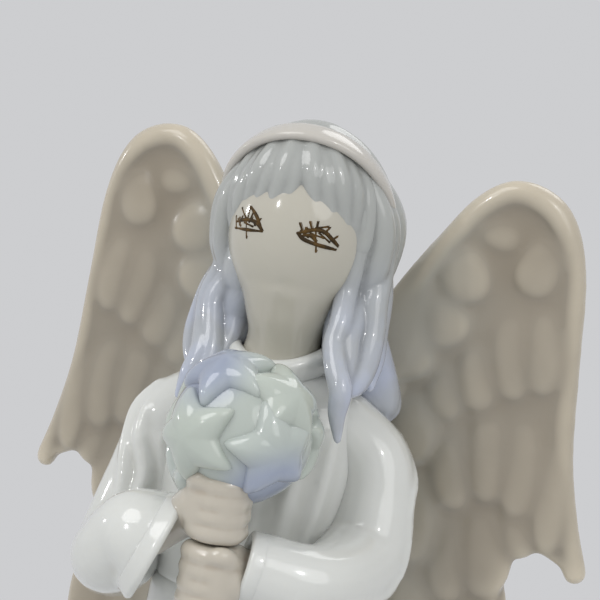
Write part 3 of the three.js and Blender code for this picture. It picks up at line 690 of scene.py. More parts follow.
def on_head(round_, up, lift=0.0):
    """A point on the head or lifted from it: degrees round from the face, degrees up."""
    x, y, z = bearing(round_, up)
    low = z ** 2 if z < 0 else 0.0
    taper = 1 - JAW_TAPER * low
    point = Vector((x * size("head_width") / 2 * taper, 0, z * size("head_height") / 2))
    point.y = y * size("head_depth") / 2 * (1 - JAW_DEPTH + JAW_DEPTH * taper)
    point *= 1 + lift / point.length
    point.y -= size("chin_forward") * low
    return Matrix.Rotation(HEAD_TURN, 3, "Z") @ point + HEAD_MIDDLE


def head_form(lift, segments=128, rings=96):
    """The head's form, lifted by a rule of the place round and up."""
    form = pellet((0, 0, 0), (1, 1, 1), segments=segments, rings=rings)

    def place(point):
        unit = point.normalized()
        round_ = math.degrees(math.atan2(unit.x, -unit.y))
        up = math.degrees(math.asin(max(-1, min(1, unit.z))))
        return on_head(round_, up, lift(round_, up))

    return moved(form, place)


# Where the chest and the slope of the shoulders lie between the levels below and above them, and
# how far the slope has narrowed towards the collar.
CHEST_SHARE = 0.55
SLOPE_SHARE = 0.55
SLOPE_NARROWS = 0.4


def bodice_sections():
    """Levels of the bodice from the waist up, each with its half width and half depth."""
    chest = BODICE_FLOOR + (SHOULDER - BODICE_FLOOR) * CHEST_SHARE
    half = [size("shoulder_width") / 2, size("shoulder_depth") / 2]
    collar = size("collar_radius")
    slope = [side + (collar - side) * SLOPE_NARROWS for side in half]
    return [
        (BODICE_FLOOR, size("waist_width") / 2, size("waist_depth") / 2),
        (chest, size("chest_width") / 2, size("chest_depth") / 2),
        (SHOULDER, *half),
        (SHOULDER + (NECK - SHOULDER) * SLOPE_SHARE, *slope),
        (NECK, collar, collar),
    ]


def on_bodice(round_, z, lift=0.0):
    """A point on the bodice or lifted from it: degrees round from the front at a height."""
    sections = bodice_sections()
    pairs = list(zip(sections, sections[1:]))
    low, high = next((pair for pair in pairs if z <= pair[1][0]), pairs[-1])
    t = min(max((z - low[0]) / (high[0] - low[0]), 0), 1)
    a = math.radians(round_)
    wide = low[1] + (high[1] - low[1]) * t + lift
    deep = low[2] + (high[2] - low[2]) * t + lift
    return Vector((math.sin(a) * wide, -math.cos(a) * deep, z))


def wand_foot():
    """Middle of the stem's lower end."""
    low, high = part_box("wand_stem")
    return Vector(((low.x + high.x) / 2, (low.y + high.y) / 2, low.z)) / MM


def ball_middle():
    """Middle of the ball, from its front and its top."""
    low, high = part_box("star_ball")
    radius = size("ball_radius")
    return Vector(((low.x + high.x) / 2 / MM, low.y / MM + radius, high.z / MM - radius))


# Arms: the side, with 1 for the figure's left, level of the grip, reach and rise of the wrist from it,
# drop and spread of the elbow, spread, lead and sag of the forearm, the sleeve's half widths at elbow,
# forearm and mouth, how far the mouth and the root of the hand lie in, back and down from the wrist,
# where a flared mouth faces, and the depth of its hollow.
ARMS = {
    "left": {"side": 1, "grip": 94.3, "wrist": (4.2, 1.3), "elbow": (16.4, 1.2),
             "forearm": (2.7, 3.0, 1.4), "wide": (5.7, 5.1, 4.7), "mouth": (0, 0, 0),
             "hand": (0, 0, 0), "faces": None, "hollow": 0},
    "right": {"side": -1, "grip": 103.1, "wrist": (11.9, -4.9), "elbow": (21.4, 2.6),
              "forearm": (1.0, 5.2, 0.6), "wide": (5.9, 5.1, 7.2), "mouth": (3.1, -1.1, 1.9),
              "hand": (1.6, 2.2, 2.2), "faces": (0.969, 0.136, -0.208), "hollow": 3.4},
}
# Sleeves: half widths at the root, the cap and the upper arm, how far the cap stands off the bodice,
# how the upper arm bows out and back, how far the elbow is forward and the wrist behind the wand,
# and where a flared mouth starts to open: how far back along it, and how far open it is there.
SLEEVE_ROOT = 4.4
SLEEVE_CAP = 4.85
SLEEVE_UPPER = 5.1
CAP_LIFT = 0.44
UPPER_BOW = (0.8, 1.0)
ELBOW_FORWARD = 5.0
WRIST_BACK = 2.3
FLARE_RUN = 2.4
FLARE_START = 0.25


def wrist(arm):
    foot = wand_foot()
    reach, rise = arm["wrist"]
    return Vector((foot.x + arm["side"] * reach, foot.y + WRIST_BACK, arm["grip"] + rise))


def from_wrist(arm, part):
    """The middle of a sleeve's open end, or the root of the hand in it."""
    inward, back, drop = arm[part]
    return wrist(arm) + Vector((-arm["side"] * inward, back, -drop))


def sleeve_stops(arm):
    """Stops of a sleeve from inside the shoulder to its open end."""
    side = arm["side"]
    drop, out = arm["elbow"]
    bow_out, bow_back = UPPER_BOW
    spread, lead, sag = arm["forearm"]
    bent, middle, open_ = arm["wide"]
    root = on_bodice(side * 90, SHOULDER, -SLEEVE_ROOT)
    cap = on_bodice(side * 90, SHOULDER - SLEEVE_ROOT, CAP_LIFT)
    elbow = Vector((side * (size("chest_width") / 2 + out), -ELBOW_FORWARD, SHOULDER - drop))
    upper = cap.lerp(elbow, 0.5) + Vector((side * bow_out, bow_back, 0))
    end = from_wrist(arm, "mouth")
    forearm = elbow.lerp(end, 0.5) + Vector((side * spread, -lead, -sag))
    stops = [(root, SLEEVE_ROOT), (cap, SLEEVE_CAP), (upper, SLEEVE_UPPER), (elbow, bent)]
    stops.append((forearm, middle))
    if arm["faces"]:
        start = end - Vector(arm["faces"]) * FLARE_RUN
        stops.append((start, middle + (open_ - middle) * FLARE_START))
    stops.append((end, open_))
    return stops


def sleeve_line(arm):
    return line_through(sleeve_stops(arm), blunt=True)


# Pieces

# Foot: the rounding of its edge and of the vent's, and the vent's radius and place behind the middle.
FOOT_EDGE = 0.8
VENT_EDGE = 0.2
VENT_RADIUS = 4
VENT_BACK = 12


class FootOperator(bpy.types.Operator):
    """Low oval foot with its vent"""

    bl_idname = "angel.foot"
    bl_label = "Foot"

    def execute(self, context):
        low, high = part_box("foot")
        tall = high.z - low.z
        deselect()
        bpy.ops.mesh.primitive_cylinder_add(
            vertices=128, radius=1, depth=tall, location=(0, 0, (low.z + high.z) / 2))
        foot = bpy.context.object
        foot.scale = (high.x, high.y, 1)
        bpy.ops.object.transform_apply()
        with editing():
            bpy.ops.mesh.bevel(offset=FOOT_EDGE * MM, segments=4)
        deselect()
        bpy.ops.mesh.primitive_cylinder_add(
            vertices=48, radius=VENT_RADIUS * MM, depth=tall * 3, location=(0, VENT_BACK * MM, tall / 2))
        vent = bpy.context.object
        bpy.ops.object.transform_apply()
        cut(foot, vent)
        round_edges(foot, VENT_EDGE, segments=2)
        fired(foot, "glazed_foot", ["foot"], glaze("gown"), reach=2)
        only(foot)
        bpy.ops.object.shade_smooth_by_angle(angle=SHARP_PAST)
        return {"FINISHED"}


# Skirt: levels from hem to waist, points round each fold, how fast the flare and the tuck of the hem
# die out going up, the tuck's share of the width, and how far the skirt laps the bodice.
SKIRT_LEVELS = 32
FOLD_POINTS = 16
FLARE_POWER = 1.55
TUCK_POWER = 12
TUCK_SHARE = 0.05
WAIST_LAP = 0.6
# Its folds: how far they wander on their way up, how often round the skirt and from where, how soon
# they are full going down, and the finer ribs as a share of a fold and where they start.
FOLD_WANDER = 0.35
WANDER_TURNS = 3
WANDER_START = 0.7
FOLD_GAIN = 1.4
RIB_SHARE = 0.18
RIB_START = 0.6


class SkirtOperator(bpy.types.Operator):
    """Bell skirt whose folds die out towards the waist"""

    bl_idname = "angel.skirt"
    bl_label = "Skirt"

    def execute(self, context):
        depth = size("fold_depth")
        count = context.scene.angel_sizes.fold_count
        sections = []
        for i in range(SKIRT_LEVELS + 1):
            t = i / SKIRT_LEVELS
            spread = (1 - t) ** FLARE_POWER
            tuck = 1 - TUCK_SHARE * (1 - t) ** TUCK_POWER
            wide = size("waist_width") + (size("hem_width") - size("waist_width")) * spread
            deep = size("waist_depth") + (size("hem_depth") - size("waist_depth")) * spread
            trim = depth * spread
            z = HEM + (WAIST + WAIST_LAP - HEM) * t
            sections.append((z, wide / 2 * tuck - trim, deep / 2 * tuck - trim))
        skirt = turned(sections, count * FOLD_POINTS)

        def fold(point):
            angle = math.atan2(point.y, point.x)
            fade = max(0, 1 - (point.z - HEM) / (WAIST - HEM))
            wander = FOLD_WANDER * math.sin(WANDER_TURNS * angle + WANDER_START) * (1 - fade)
            wave = math.cos(count * angle + wander)
            rib = RIB_SHARE * math.cos(2 * count * angle + RIB_START)
            swell = depth * min(1, FOLD_GAIN * fade) * (wave + rib)
            flat = math.hypot(point.x, point.y)
            share = 1 + swell / flat if flat > 1 else 1
            return (point.x * share, point.y * share, point.z)

        skirt = luted([moved(skirt, fold)], grain=0.6, soften=8)
        fired(skirt, "glazed_skirt", ["gown_skirt"], glaze("gown"), reach=40, depth=0.5)
        return {"FINISHED"}


# Bodice: how far down it goes inside the skirt, and how much narrower it is there.
TENON_DROP = 2.4
TENON_STEP = 0.5
# Its gathers: degrees round from the front and the levels of both ends, then stops on the way down
# with half thicknesses, the share by which they draw together, and how deep their middle line lies.
GATHERS = [(-34, 108, 92), (-12, 106, 90), (10, 107, 89), (31, 110, 92), (52, 111, 95)]
GATHER_STOPS = ((0, 1.1), (0.35, 1.275), (0.7, 1.15), (1, 1.0))
GATHER_DRAW = 0.25
GATHER_SINK = 0.7
# Collar: its rise behind, its dip in front and how narrow the dip is, how much deeper its lower half
# is, how far it lies to the left, and how much longer than wide it is.
COLLAR_RISE = 2.0
COLLAR_DIP = 3.2
DIP_POWER = 1.3
COLLAR_ROOT = 2.4
COLLAR_SHIFT = 0.4
COLLAR_STRETCH = 1.12


class BodiceOperator(bpy.types.Operator):
    """Bodice with its soft gathers and the rolled collar"""

    bl_idname = "angel.bodice"
    bl_label = "Bodice and collar"

    def execute(self, context):
        floor, wide, deep = bodice_sections()[0]
        tenon = (floor - TENON_DROP, wide - TENON_STEP, deep - TENON_STEP)
        form = turned([tenon, *bodice_sections()], sides=64)
        apply(form, "SUBSURF", levels=2, render_levels=2)
        gathers = []
        for round_, top, bottom in GATHERS:
            stops = []
            for t, thick in GATHER_STOPS:
                place = on_bodice(round_ * (1 - GATHER_DRAW * t), top + (bottom - top) * t, -GATHER_SINK)
                stops.append((place, thick))
            gathers.append(stops)
        bodice = luted([form, rolled(gathers)], grain=0.4, soften=10)
        fired(bodice, "glazed_bodice", ["gown_bodice"], glaze("gown"), reach=40, depth=0.4)

        deselect()
        bpy.ops.mesh.primitive_torus_add(
            major_radius=size("collar_radius") * MM, minor_radius=size("collar_roll") * MM,
            major_segments=128, minor_segments=24)
        collar = bpy.context.object

        def neckline(point):
            front = max(0.0, -point.y / math.hypot(point.x, point.y))
            rise = COLLAR_RISE - COLLAR_DIP * front ** DIP_POWER
            deep = point.z if point.z > 0 else point.z * COLLAR_ROOT
            return (point.x + COLLAR_SHIFT, point.y * COLLAR_STRETCH, NECK + rise + deep)

        moved(collar, neckline)
        fired(collar, "glazed_collar", ["collar"], glaze("gown"), reach=4)
        return {"FINISHED"}


# Neck: its line from below the collar up into the head, with shares of its radius.
NECK_LINE = [
    (Vector((0.4, -1.5, NECK - 2.5)), 1.3),
    (HEAD_MIDDLE + Vector((0.3, -1.9, -13.4)), 1.06),
    (HEAD_MIDDLE + Vector((0.4, -2.3, -10.4)), 1.2),
    (HEAD_MIDDLE + Vector((0.4, -2.3, -6.6)), 1.46),
]


class HeadOperator(bpy.types.Operator):
    """Smooth head flowing into the neck"""

    bl_idname = "angel.head"
    bl_label = "Head and neck"

    def execute(self, context):
        head = head_form(lambda round_, up: 0.0)
        radius = size("neck_radius")
        neck = rolled([[(place, radius * share) for place, share in NECK_LINE]])
        whole = luted([head, neck], grain=0.3, soften=40)
        fired(whole, "glazed_head", ["head", "neck"], glaze("skin"), reach=30, depth=0.4)
        return {"FINISHED"}


# Painted lashes: strokes over the face in degrees round and up from its middle.
RIGHT_LASHES = [
    [(-54, 7), (-50, 0.5)],
    [(-47.5, 7), (-46, 4)],
    [(-47.5, 12.5), (-38.5, 7)],
    [(-37, 14.5), (-37, 6.5)],
    [(-37, 14.5), (-28.5, 10), (-20.5, 2.5)],
    [(-32.5, 11.5), (-34.5, 6.5)],
    [(-24, 9), (-26.5, 6.5)],
    [(-52, 4), (-43.5, 6), (-37.5, 7), (-30.5, 7), (-25, 5.5), (-20.5, 2.5)],
    [(-52, 0.5), (-35.5, 1.5), (-20.5, 2.5)],
    [(-38.5, 7.5), (-35, -3)],
    [(-42.5, 9.5), (-34.5, 6)],
    [(-50, 6), (-44, 2.5)],
    [(-44, 8), (-46, 3)],
    [(-40, 5), (-30, 4)],
    [(-33, 9), (-28, 5)],
]
LEFT_LASHES = [
    [(7.5, 5), (12.5, 2), (22.5, 0), (30.5, -1), (39, -2)],
    [(7.5, 5), (14, 6.5), (21, 8), (28.5, 7), (35.5, 3), (40.5, 0)],
    [(8.5, 10.5), (11.5, 6)],
    [(13.5, 8.5), (13.5, 5)],
    [(16, 12), (18.5, 7.5)],
    [(22, 12.5), (21.5, 8)],
    [(32, 10), (28.5, 7)],
    [(30.5, 10.5), (21, 9)],
    [(39, 5.5), (34, 3)],
    [(32, 5), (37.5, 2)],
    [(21, 8.5), (23.5, -4)],
    [(12, 4), (17.5, 4.5), (22.5, 1.5)],
    [(25, 9), (27.5, 6.5)],
    [(10, 6.5), (16, 3.5)],
    [(15, 8), (20, 4)],
    [(18, 5.5), (28, 4)],
    [(24, 6.5), (33, 2)],
]
# Each stroke is brushed twice: the shift of the brush in degrees, and the share of its width. Then
# the share of that at both ends, and how deep its middle line lies as a share of the half width.
BRUSHINGS = ((0.0, 1.0), (1.1, 0.6))
STROKE_END = 0.7
STROKE_SINK = 0.5


class LashesOperator(bpy.types.Operator):
    """Brushed lashes on the face"""

    bl_idname = "angel.lashes"
    bl_label = "Painted lashes"

    def execute(self, context):
        thick = size("lash_width") / 2
        for side, strokes in (("right", RIGHT_LASHES), ("left", LEFT_LASHES)):
            drawn = []
            for stroke in strokes:
                last = len(stroke) - 1
                for shift, share in BRUSHINGS:
                    stops = []
                    for i, (round_, up) in enumerate(stroke):
                        press = share if 0 < i < last else share * STROKE_END
                        place = on_head(round_ + shift, up + shift / 2, -STROKE_SINK * thick)
                        stops.append((place, thick * press))
                    drawn.append(stops)
            lashes = rolled(drawn, steps=4)
            painted(lashes, f"painted_lashes_{side}", glaze("lash"))
            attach(lashes, BODY)
        return {"FINISHED"}


# Crown: half width and half height of its opening over the face, the opening's drop from the middle
# of the head, how far the hair sinks into the head there, and how it thins towards the top and the
# sides.
FACE_WIDE = 9.0
FACE_TALL = 13.2
FACE_DROP = 1.2
FACE_SINK = 1.4
TOP_THINS = 0.5
SIDES_THIN = 0.7
# From where to where it sinks: at the face in sizes of the opening, and towards the front and under the
# head in millimetres from the middle. Then from where to where it thins, in degrees up.
FACE_FADE = (1.5, 1.0)
FRONT_FADE = (2.0, -4.0)
UNDER_FADE = (1.0, -8.5)
TOP_FADE = (20, 70)
SIDES_FADE = (30, 0)
# Its combed ridges round the head, how far they sway and how often, the finer ones with theirs, and the
# share of the finer ones.
RIDGES = 14
RIDGE_SWAY = 0.5
RIDGE_WAVES = 3
FINE_RIDGES = 37
FINE_SWAY = 1.3
FINE_WAVES = 2
FINE_SHARE = 0.12


class HairCrownOperator(bpy.types.Operator):
    """Combed cap of hair, open over the face"""

    bl_idname = "angel.hair_crown"
    bl_label = "Crown of hair"

    def execute(self, context):
        thick = size("hair_thickness")
        ridge = size("ridge_depth")

        def lift(round_, up):
            point = on_head(round_, up, thick) - HEAD_MIDDLE
            flat = Matrix.Rotation(-HEAD_TURN, 3, "Z") @ point
            face = math.hypot(flat.x / FACE_WIDE, (flat.z + FACE_DROP) / FACE_TALL)
            # The hair ends where the face begins, and under the head.
            open_ = smooth(*FACE_FADE, face) * smooth(*FRONT_FADE, flat.y)
            under = smooth(*UNDER_FADE, flat.z)
            fan = math.cos(math.radians(up))
            a = math.radians(round_)
            comb = math.cos(RIDGES * a + RIDGE_SWAY * math.sin(math.radians(up * RIDGE_WAVES)))
            fine = math.cos(FINE_RIDGES * a + FINE_SWAY * math.sin(math.radians(up * FINE_WAVES)))
            rise = thick - TOP_THINS * smooth(*TOP_FADE, up) - SIDES_THIN * smooth(*SIDES_FADE, up)
            rise += ridge * fan ** 2 * (comb + FINE_SHARE * fine)
            return rise - (thick + FACE_SINK) * max(open_, under)

        crown = head_form(lift, segments=256, rings=160)
        apply(crown, "SMOOTH", factor=0.5, iterations=3)
        fired(crown, "glazed_hair_crown", ["hair_crown"], glaze("hair"), reach=20)
        return {"FINISHED"}


# Headband: steps along it, points round it, degrees to each side of the top, how far it sinks into
# the hair, how blunt its ends are, how square its section is across and through, and the small turn
# that tells which way it runs.
BAND_STEPS = 96
BAND_SIDES = 24
BAND_REACH = 96
BAND_SINK = 0.45
BAND_BLUNT = 10
BAND_SQUARE = (0.7, 0.8)
BAND_NUDGE = 0.02
# Points of it nearer than this, in millimetres, are made one.
BAND_MERGE = 0.01
# Its line over the top in front and down behind the ears: how far back it tucks and how far it swings.
BAND_TUCK = 0.46
BAND_SWING = 0.97


def band_point(a, lift):
    """A point on the headband's middle line."""
    way = Vector((math.sin(a), BAND_TUCK - BAND_SWING * math.cos(a), math.cos(a))).normalized()
    return on_head(math.degrees(math.atan2(way.x, -way.y)), math.degrees(math.asin(way.z)), lift)


class HeadbandOperator(bpy.types.Operator):
    """Flat headband over the crown"""

    bl_idname = "angel.headband"
    bl_label = "Headband"

    def execute(self, context):
        lift = size("hair_thickness") - BAND_SINK
        half = size("band_width") / 2
        thick = size("band_thickness") / 2
        halfway = BAND_STEPS / 2
        points = []
        for i in range(BAND_STEPS + 1):
            a = math.radians((i / halfway - 1) * BAND_REACH)
            here = band_point(a, lift)
            along = (band_point(a + BAND_NUDGE, lift) - band_point(a - BAND_NUDGE, lift)).normalized()
            across = along.cross((here - HEAD_MIDDLE).normalized()).normalized()
            out = across.cross(along).normalized()
            ends = math.sqrt(1 - (abs(i - halfway) / halfway) ** BAND_BLUNT)
            for k in range(BAND_SIDES):
                turn = k / BAND_SIDES * math.tau
                wide = squarer(math.cos(turn), BAND_SQUARE[0]) * half
                high = squarer(math.sin(turn), BAND_SQUARE[1]) * thick
                points.append(here + across * wide * ends + out * high * ends)
        faces = []
        for i in range(0, BAND_STEPS * BAND_SIDES, BAND_SIDES):
            for k in range(BAND_SIDES):
                n = (k + 1) % BAND_SIDES
                faces.append((i + k, i + n, i + BAND_SIDES + n, i + BAND_SIDES + k))
        faces.append(tuple(reversed(range(BAND_SIDES))))
        faces.append(tuple(range(BAND_STEPS * BAND_SIDES, len(points))))
        band = meshed("band", points, faces)
        with editing():
            bpy.ops.mesh.remove_doubles(threshold=BAND_MERGE * MM)
            bpy.ops.mesh.normals_make_consistent(inside=False)
        fired(band, "glazed_headband", ["headband"], glaze("band"), reach=10, depth=0.2)
        return {"FINISHED"}


# Fringe: each strand's line over the brow in degrees (round, up), from under the band to its tip.
FRINGE = [
    [(-70, 62), (-66, 34), (-71, 14), (-70, -2)],
    [(-56, 64), (-53, 38), (-60, 18), (-64, 6)],
    [(-43, 66), (-40, 38), (-48, 18)],
    [(-30, 66), (-27, 40), (-34, 21)],
    [(-18, 66), (-15, 42), (-19, 22)],
    [(-7, 66), (-4, 44), (-5, 27)],
    [(7, 66), (12, 43), (19, 25)],
    [(18, 66), (26, 41), (34, 19)],
    [(30, 65), (40, 38), (48, 12)],
    [(44, 64), (55, 34), (58, 5)],
    [(60, 62), (70, 30), (68, 4), (64, -12)],
]
# Gaps between the strands that stay open, counted from 0 at the figure's right.
PARTINGS = (1, 3, 5)
# Half thickness of a strand and of its tip, the height of its top over the head, how far every other
# strand stands out, how much the top falls from stop to stop, and the height of the tip.
STRAND_THICK = 1.6
TIP_THICK = 1.0
STRAND_TOP = 2.1
STRAND_STAGGER = 0.14
STRAND_FALL = 0.6
TIP_TOP = -0.02
# Hair filled in between two strands: their stops with the lift there, its rise, and half thickness.
FILL_STOPS = ((0, 0.2), (1, -0.45), (-1, -1.05))
FILL_RISE = 3.5
FILL_THICK = 1.1


class FringeOperator(bpy.types.Operator):
    """Strands combed from the band over the brow"""

    bl_idname = "angel.fringe"
    bl_label = "Fringe"

    def execute(self, context):
        strands = []
        for i, stops in enumerate(FRINGE):
            last = len(stops) - 1
            strand = []
            for k, (round_, up) in enumerate(stops):
                thick = TIP_THICK
                top = TIP_TOP
                if k < last:
                    thick = STRAND_THICK
                    top = STRAND_TOP + STRAND_STAGGER * (-1) ** i - STRAND_FALL * k
                strand.append((on_head(round_, up, top - thick), thick))
            strands.append(strand)
        for i, (one, two) in enumerate(zip(FRINGE, FRINGE[1:])):
            if i in PARTINGS:
                continue
            strand = []
            for k, lift in FILL_STOPS:
                round_ = (one[k][0] + two[k][0]) / 2
                up = (one[k][1] + two[k][1]) / 2 + FILL_RISE
                strand.append((on_head(round_, up, lift), FILL_THICK))
            strands.append(strand)
        fringe = luted([rolled(strands)], grain=0.2, soften=18)
        fired(fringe, "glazed_fringe", ["hair_fringe"], glaze("hair"), reach=30, depth=0.2)
        return {"FINISHED"}


# Side locks: each strand's thickness, its way over the head as (round, up, lift) and its fall
# to the chest as (x, y, z).
LEFT_LOCK = [
    (1.5, [(60, 40, 0.1), (67, 14, -0.5), (67, -13, -0.7), (67, -27, 0.2)],
     [(9.2, -6.0, 125.6), (9.2, -7.4, 122.8), (10.5, -9.4, 120.2), (11.9, -10.6, 117.8),
      (12.0, -11.0, 115.0), (12.6, -11.2, 111.8)]),
    (1.9, [(74, 42, 0.6), (81, 14, 1.0), (82, -6, 1.1), (85, -26, 1.4)],
     [(9.9, -4.8, 124.2), (11.0, -7.2, 120.7), (12.0, -9.4, 117.9)]),
    (1.9, [(88, 42, 0.7), (94, 12, 1.2), (96, -8, 1.3)],
     [(11.6, -1.0, 128.4), (12.2, -2.4, 123.8), (12.5, -4.6, 120.4), (12.6, -7.2, 118.3),
      (12.3, -9.8, 117.3)]),
    (1.9, [(103, 40, 0.7), (107, 8, 1.2), (109, -12, 1.5)],
     [(11.3, 1.8, 128.3), (11.6, 0.8, 123.9), (12.6, -1.0, 120.7), (13.3, -3.0, 117.6)]),
    (2.7, [(84, -14, -1.8), (86, -30, -1.2)],
     [(8.6, -2.7, 124.6), (8.9, -4.2, 121.2), (9.9, -6.4, 118.8)]),
]
RIGHT_LOCK = [
    (1.5, [(-64, 40, 0.2), (-76, 14, 0.5), (-82, -10, 0.6), (-83, -26, 0.7)],
     [(-8.6, -5.0, 125.3), (-8.0, -6.2, 122.5), (-7.1, -7.8, 119.4), (-7.0, -9.4, 116.2),
      (-7.8, -10.2, 113.4)]),
    (1.8, [(-74, 42, 0.5), (-83, 14, 0.8), (-88, -8, 0.9), (-90, -22, 1.0)],
     [(-9.4, -3.8, 125.7), (-8.9, -5.4, 122.0), (-8.0, -7.8, 118.9), (-8.8, -9.2, 115.8),
      (-9.8, -9.6, 113.0)]),
    (1.8, [(-90, 42, 0.6), (-94, 12, 1.0), (-96, -10, 1.0), (-97, -22, 1.5)],
     [(-10.2, -1.8, 126.3), (-10.6, -2.8, 123.4), (-10.6, -4.2, 120.4), (-9.9, -6.2, 118.0),
      (-8.7, -8.3, 116.0)]),
    (1.8, [(-106, 38, 0.6), (-109, 8, 1.0), (-111, -14, 1.6)],
     [(-10.4, 1.2, 127.0), (-10.9, 0.2, 123.4), (-11.3, -1.6, 120.4), (-11.4, -3.2, 117.8)]),
    (2.7, [(-76, -14, -1.8), (-78, -30, -1.2)],
     [(-5.6, -1.4, 124.8), (-5.9, -2.8, 121.4), (-6.8, -6.2, 118.6)]),
    (2.2, [(-80, -18, -1.9), (-80, -34, -1.2)],
     [(-6.2, -3.4, 124.0), (-6.0, -4.6, 121.6), (-5.8, -7.0, 118.8)]),
]
# Shares of a strand's thickness at its root and at its last two stops.
LOCK_ROOT = 0.7
LOCK_TIP = [0.8, 0.35]


class LocksOperator(bpy.types.Operator):
    """Wavy locks from the temples down to the chest"""

    bl_idname = "angel.locks"
    bl_label = "Side locks"

    def execute(self, context):
        for side, lock in (("left", LEFT_LOCK), ("right", RIGHT_LOCK)):
            strands = []
            for thick, over, fall in lock:
                points = [on_head(*place) for place in over] + [Vector(place) for place in fall]
                shares = [LOCK_ROOT] + [1.0] * (len(points) - 3) + LOCK_TIP
                strands.append([(point, thick * share) for point, share in zip(points, shares)])
            piece = luted([rolled(strands)], grain=0.22, soften=6)
            name = f"hair_lock_{side}"
            fired(piece, f"glazed_{name}", [name], glaze("hair"), reach=30)
        return {"FINISHED"}


# Hair down the back: strands in each layer, their half thickness and how far the layer stands out,
# then the degrees to each side, the nape's half width, half depth and height over the neckline, and how
# much lower the middle strands end.
BACK_LAYERS = ((5, 3.3, 0.0), (12, 1.0, 2.4))
BACK_SPREAD = 62
NAPE = (9.5, 8.4, 5.2)
BACK_DROP = 3.0
# How ragged its ends are, its waves in degrees, and how fast each of them changes from strand to strand.
BACK_RAGGED = 0.8
RAGGED_RATE = 2.1
BACK_WAVE = 2.2
WAVE_RATE = 1.7
# Stops of a strand over the head: degrees up, the side that a wave goes to, the lift, the layer's share
# in it, and the share of the thickness.
BACK_OVER = ((50, 0, 0.4, 0.5, 0.5), (10, 1, 1.2, 1.0, 1.0), (-22, -1, 1.2, 1.0, 1.0))
# Its stop over the shoulders: the height over them, the lift and the share of the thickness. Then its
# tip: the lift, the layer's share in it, and the share of the thickness.
BACK_SHOULDER = (3.0, 2.0, 0.95)
BACK_TIP = (1.0, 0.5, 0.45)


class BackHairOperator(bpy.types.Operator):
    """Thick strands from the crown to the shoulder blades"""

    bl_idname = "angel.back_hair"
    bl_label = "Hair down the back"

    def execute(self, context):
        strands = []
        wide, deep, rise = NAPE
        over_shoulder, shoulder_lift, shoulder_thick = BACK_SHOULDER
        tip_lift, tip_share, tip_thick = BACK_TIP
        for count, thick, lift in BACK_LAYERS:
            for i in range(count):
                spread = i / (count - 1) * 2 - 1
                round_ = 180 + spread * BACK_SPREAD
                x, y, _ = bearing(round_, 0)
                nape = Vector((x * (wide + lift), y * (deep + lift), NECK + rise))
                ragged = BACK_RAGGED * math.sin(i * RAGGED_RATE)
                end = SHOULDER - BACK_DROP * (1 - spread ** 2) + ragged
                wave = BACK_WAVE * math.sin(i * WAVE_RATE) if lift else 0.0
                strand = []
                for up, way, off, share, width in BACK_OVER:
                    strand.append((on_head(round_ + wave * way, up, off + lift * share), thick * width))
                strand.append((nape, thick))
                shoulder = on_bodice(round_ + wave, SHOULDER + over_shoulder, shoulder_lift + lift)
                strand.append((shoulder, thick * shoulder_thick))
                tip = on_bodice(round_, end, tip_lift + lift * tip_share)
                strand.append((tip, thick * tip_thick))
                strands.append(strand)
        hair = luted([rolled(strands)], grain=0.32, soften=6)
        fired(hair, "glazed_hair_back", ["hair_back"], glaze("hair"), reach=30, depth=0.35)
        return {"FINISHED"}


# Folds on a plain sleeve, and on one with a flared mouth: from and to along the arm from 0 to 1,
# bearing and twist round it in degrees, and how far it stands out.
FOLDS = [
    (0.20, 0.60, 200, 40, 0.45),
    (0.25, 0.68, 250, 30, 0.45),
    (0.40, 0.80, 160, 70, 0.45),
    (0.35, 0.75, 300, 25, 0.45),
    (0.50, 0.90, 225, -35, 0.45),
    (0.15, 0.50, 120, 50, 0.45),
]
CROOK_FOLDS = [
    (0.16, 0.44, 100, 14, 0.9),
    (0.20, 0.50, 138, 10, 1.0),
    (0.24, 0.50, 178, 6, 0.9),
    (0.20, 0.60, 260, 30, 0.45),
    (0.40, 0.62, 300, 25, 0.45),
]
# Stops along each fold with half thicknesses, how deep a fold's middle line lies in the sleeve, and
# the wall that the hollow in a sleeve's mouth leaves.
FOLD_STOPS = ((0, 0.69969), (0.25, 0.91895), (0.5, 1.0), (0.75, 0.91895), (1, 0.69969))
FOLD_SINK = 1.0
MOUTH_WALL = 1.5


def fold_line(line, start, end, turn, twist, proud):
    """Stops of a fold that lies along part of a sleeve's line."""
    stops = []
    for t, thick in FOLD_STOPS:
        index = int((start + (end - start) * t) * (len(line) - 2)) + 1
        here, radius = line[index]
        along = (line[index + 1][0] - line[index - 1][0]).normalized()
        across = along.cross(Vector((0, 0, 1))).normalized()
        over = across.cross(along)
        bend = math.radians(turn + twist * t)
        out = across * math.cos(bend) + over * math.sin(bend)
        stops.append((here + out * (radius - FOLD_SINK + proud), thick))
    return stops


class SleevesOperator(bpy.types.Operator):
    """Wide sleeves with soft folds at the elbow"""

    bl_idname = "angel.sleeves"
    bl_label = "Sleeves"

    def execute(self, context):
        for name, arm in ARMS.items():
            line = sleeve_line(arm)
            folds = CROOK_FOLDS if arm["faces"] else FOLDS
            ridges = [fold_line(line, *fold) for fold in folds]
            form = rolled([sleeve_stops(arm)], blunt=True)
            sleeve = luted([form, rolled(ridges)], grain=0.35, soften=12)
            if arm["hollow"]:
                way = line[-1][0] - line[-3][0]
                turn = way.to_track_quat("Z", "Y").to_euler()
                wide = arm["wide"][2] - MOUTH_WALL
                cut(sleeve, pellet(from_wrist(arm, "mouth"), (wide, wide, arm["hollow"]), turn))
                sleeve = luted([sleeve], grain=0.35, soften=10)
            piece = f"sleeve_{name}"
            fired(sleeve, f"glazed_{piece}", [piece], glaze("gown"), reach=40, depth=0.4)
        return {"FINISHED"}


# Cuffs: how far their middle lies inside the sleeve, their thickness and the rounding of their edges.
CUFF_INSET = 0.7
CUFF_THICK = 1.3
CUFF_EDGE = 0.6


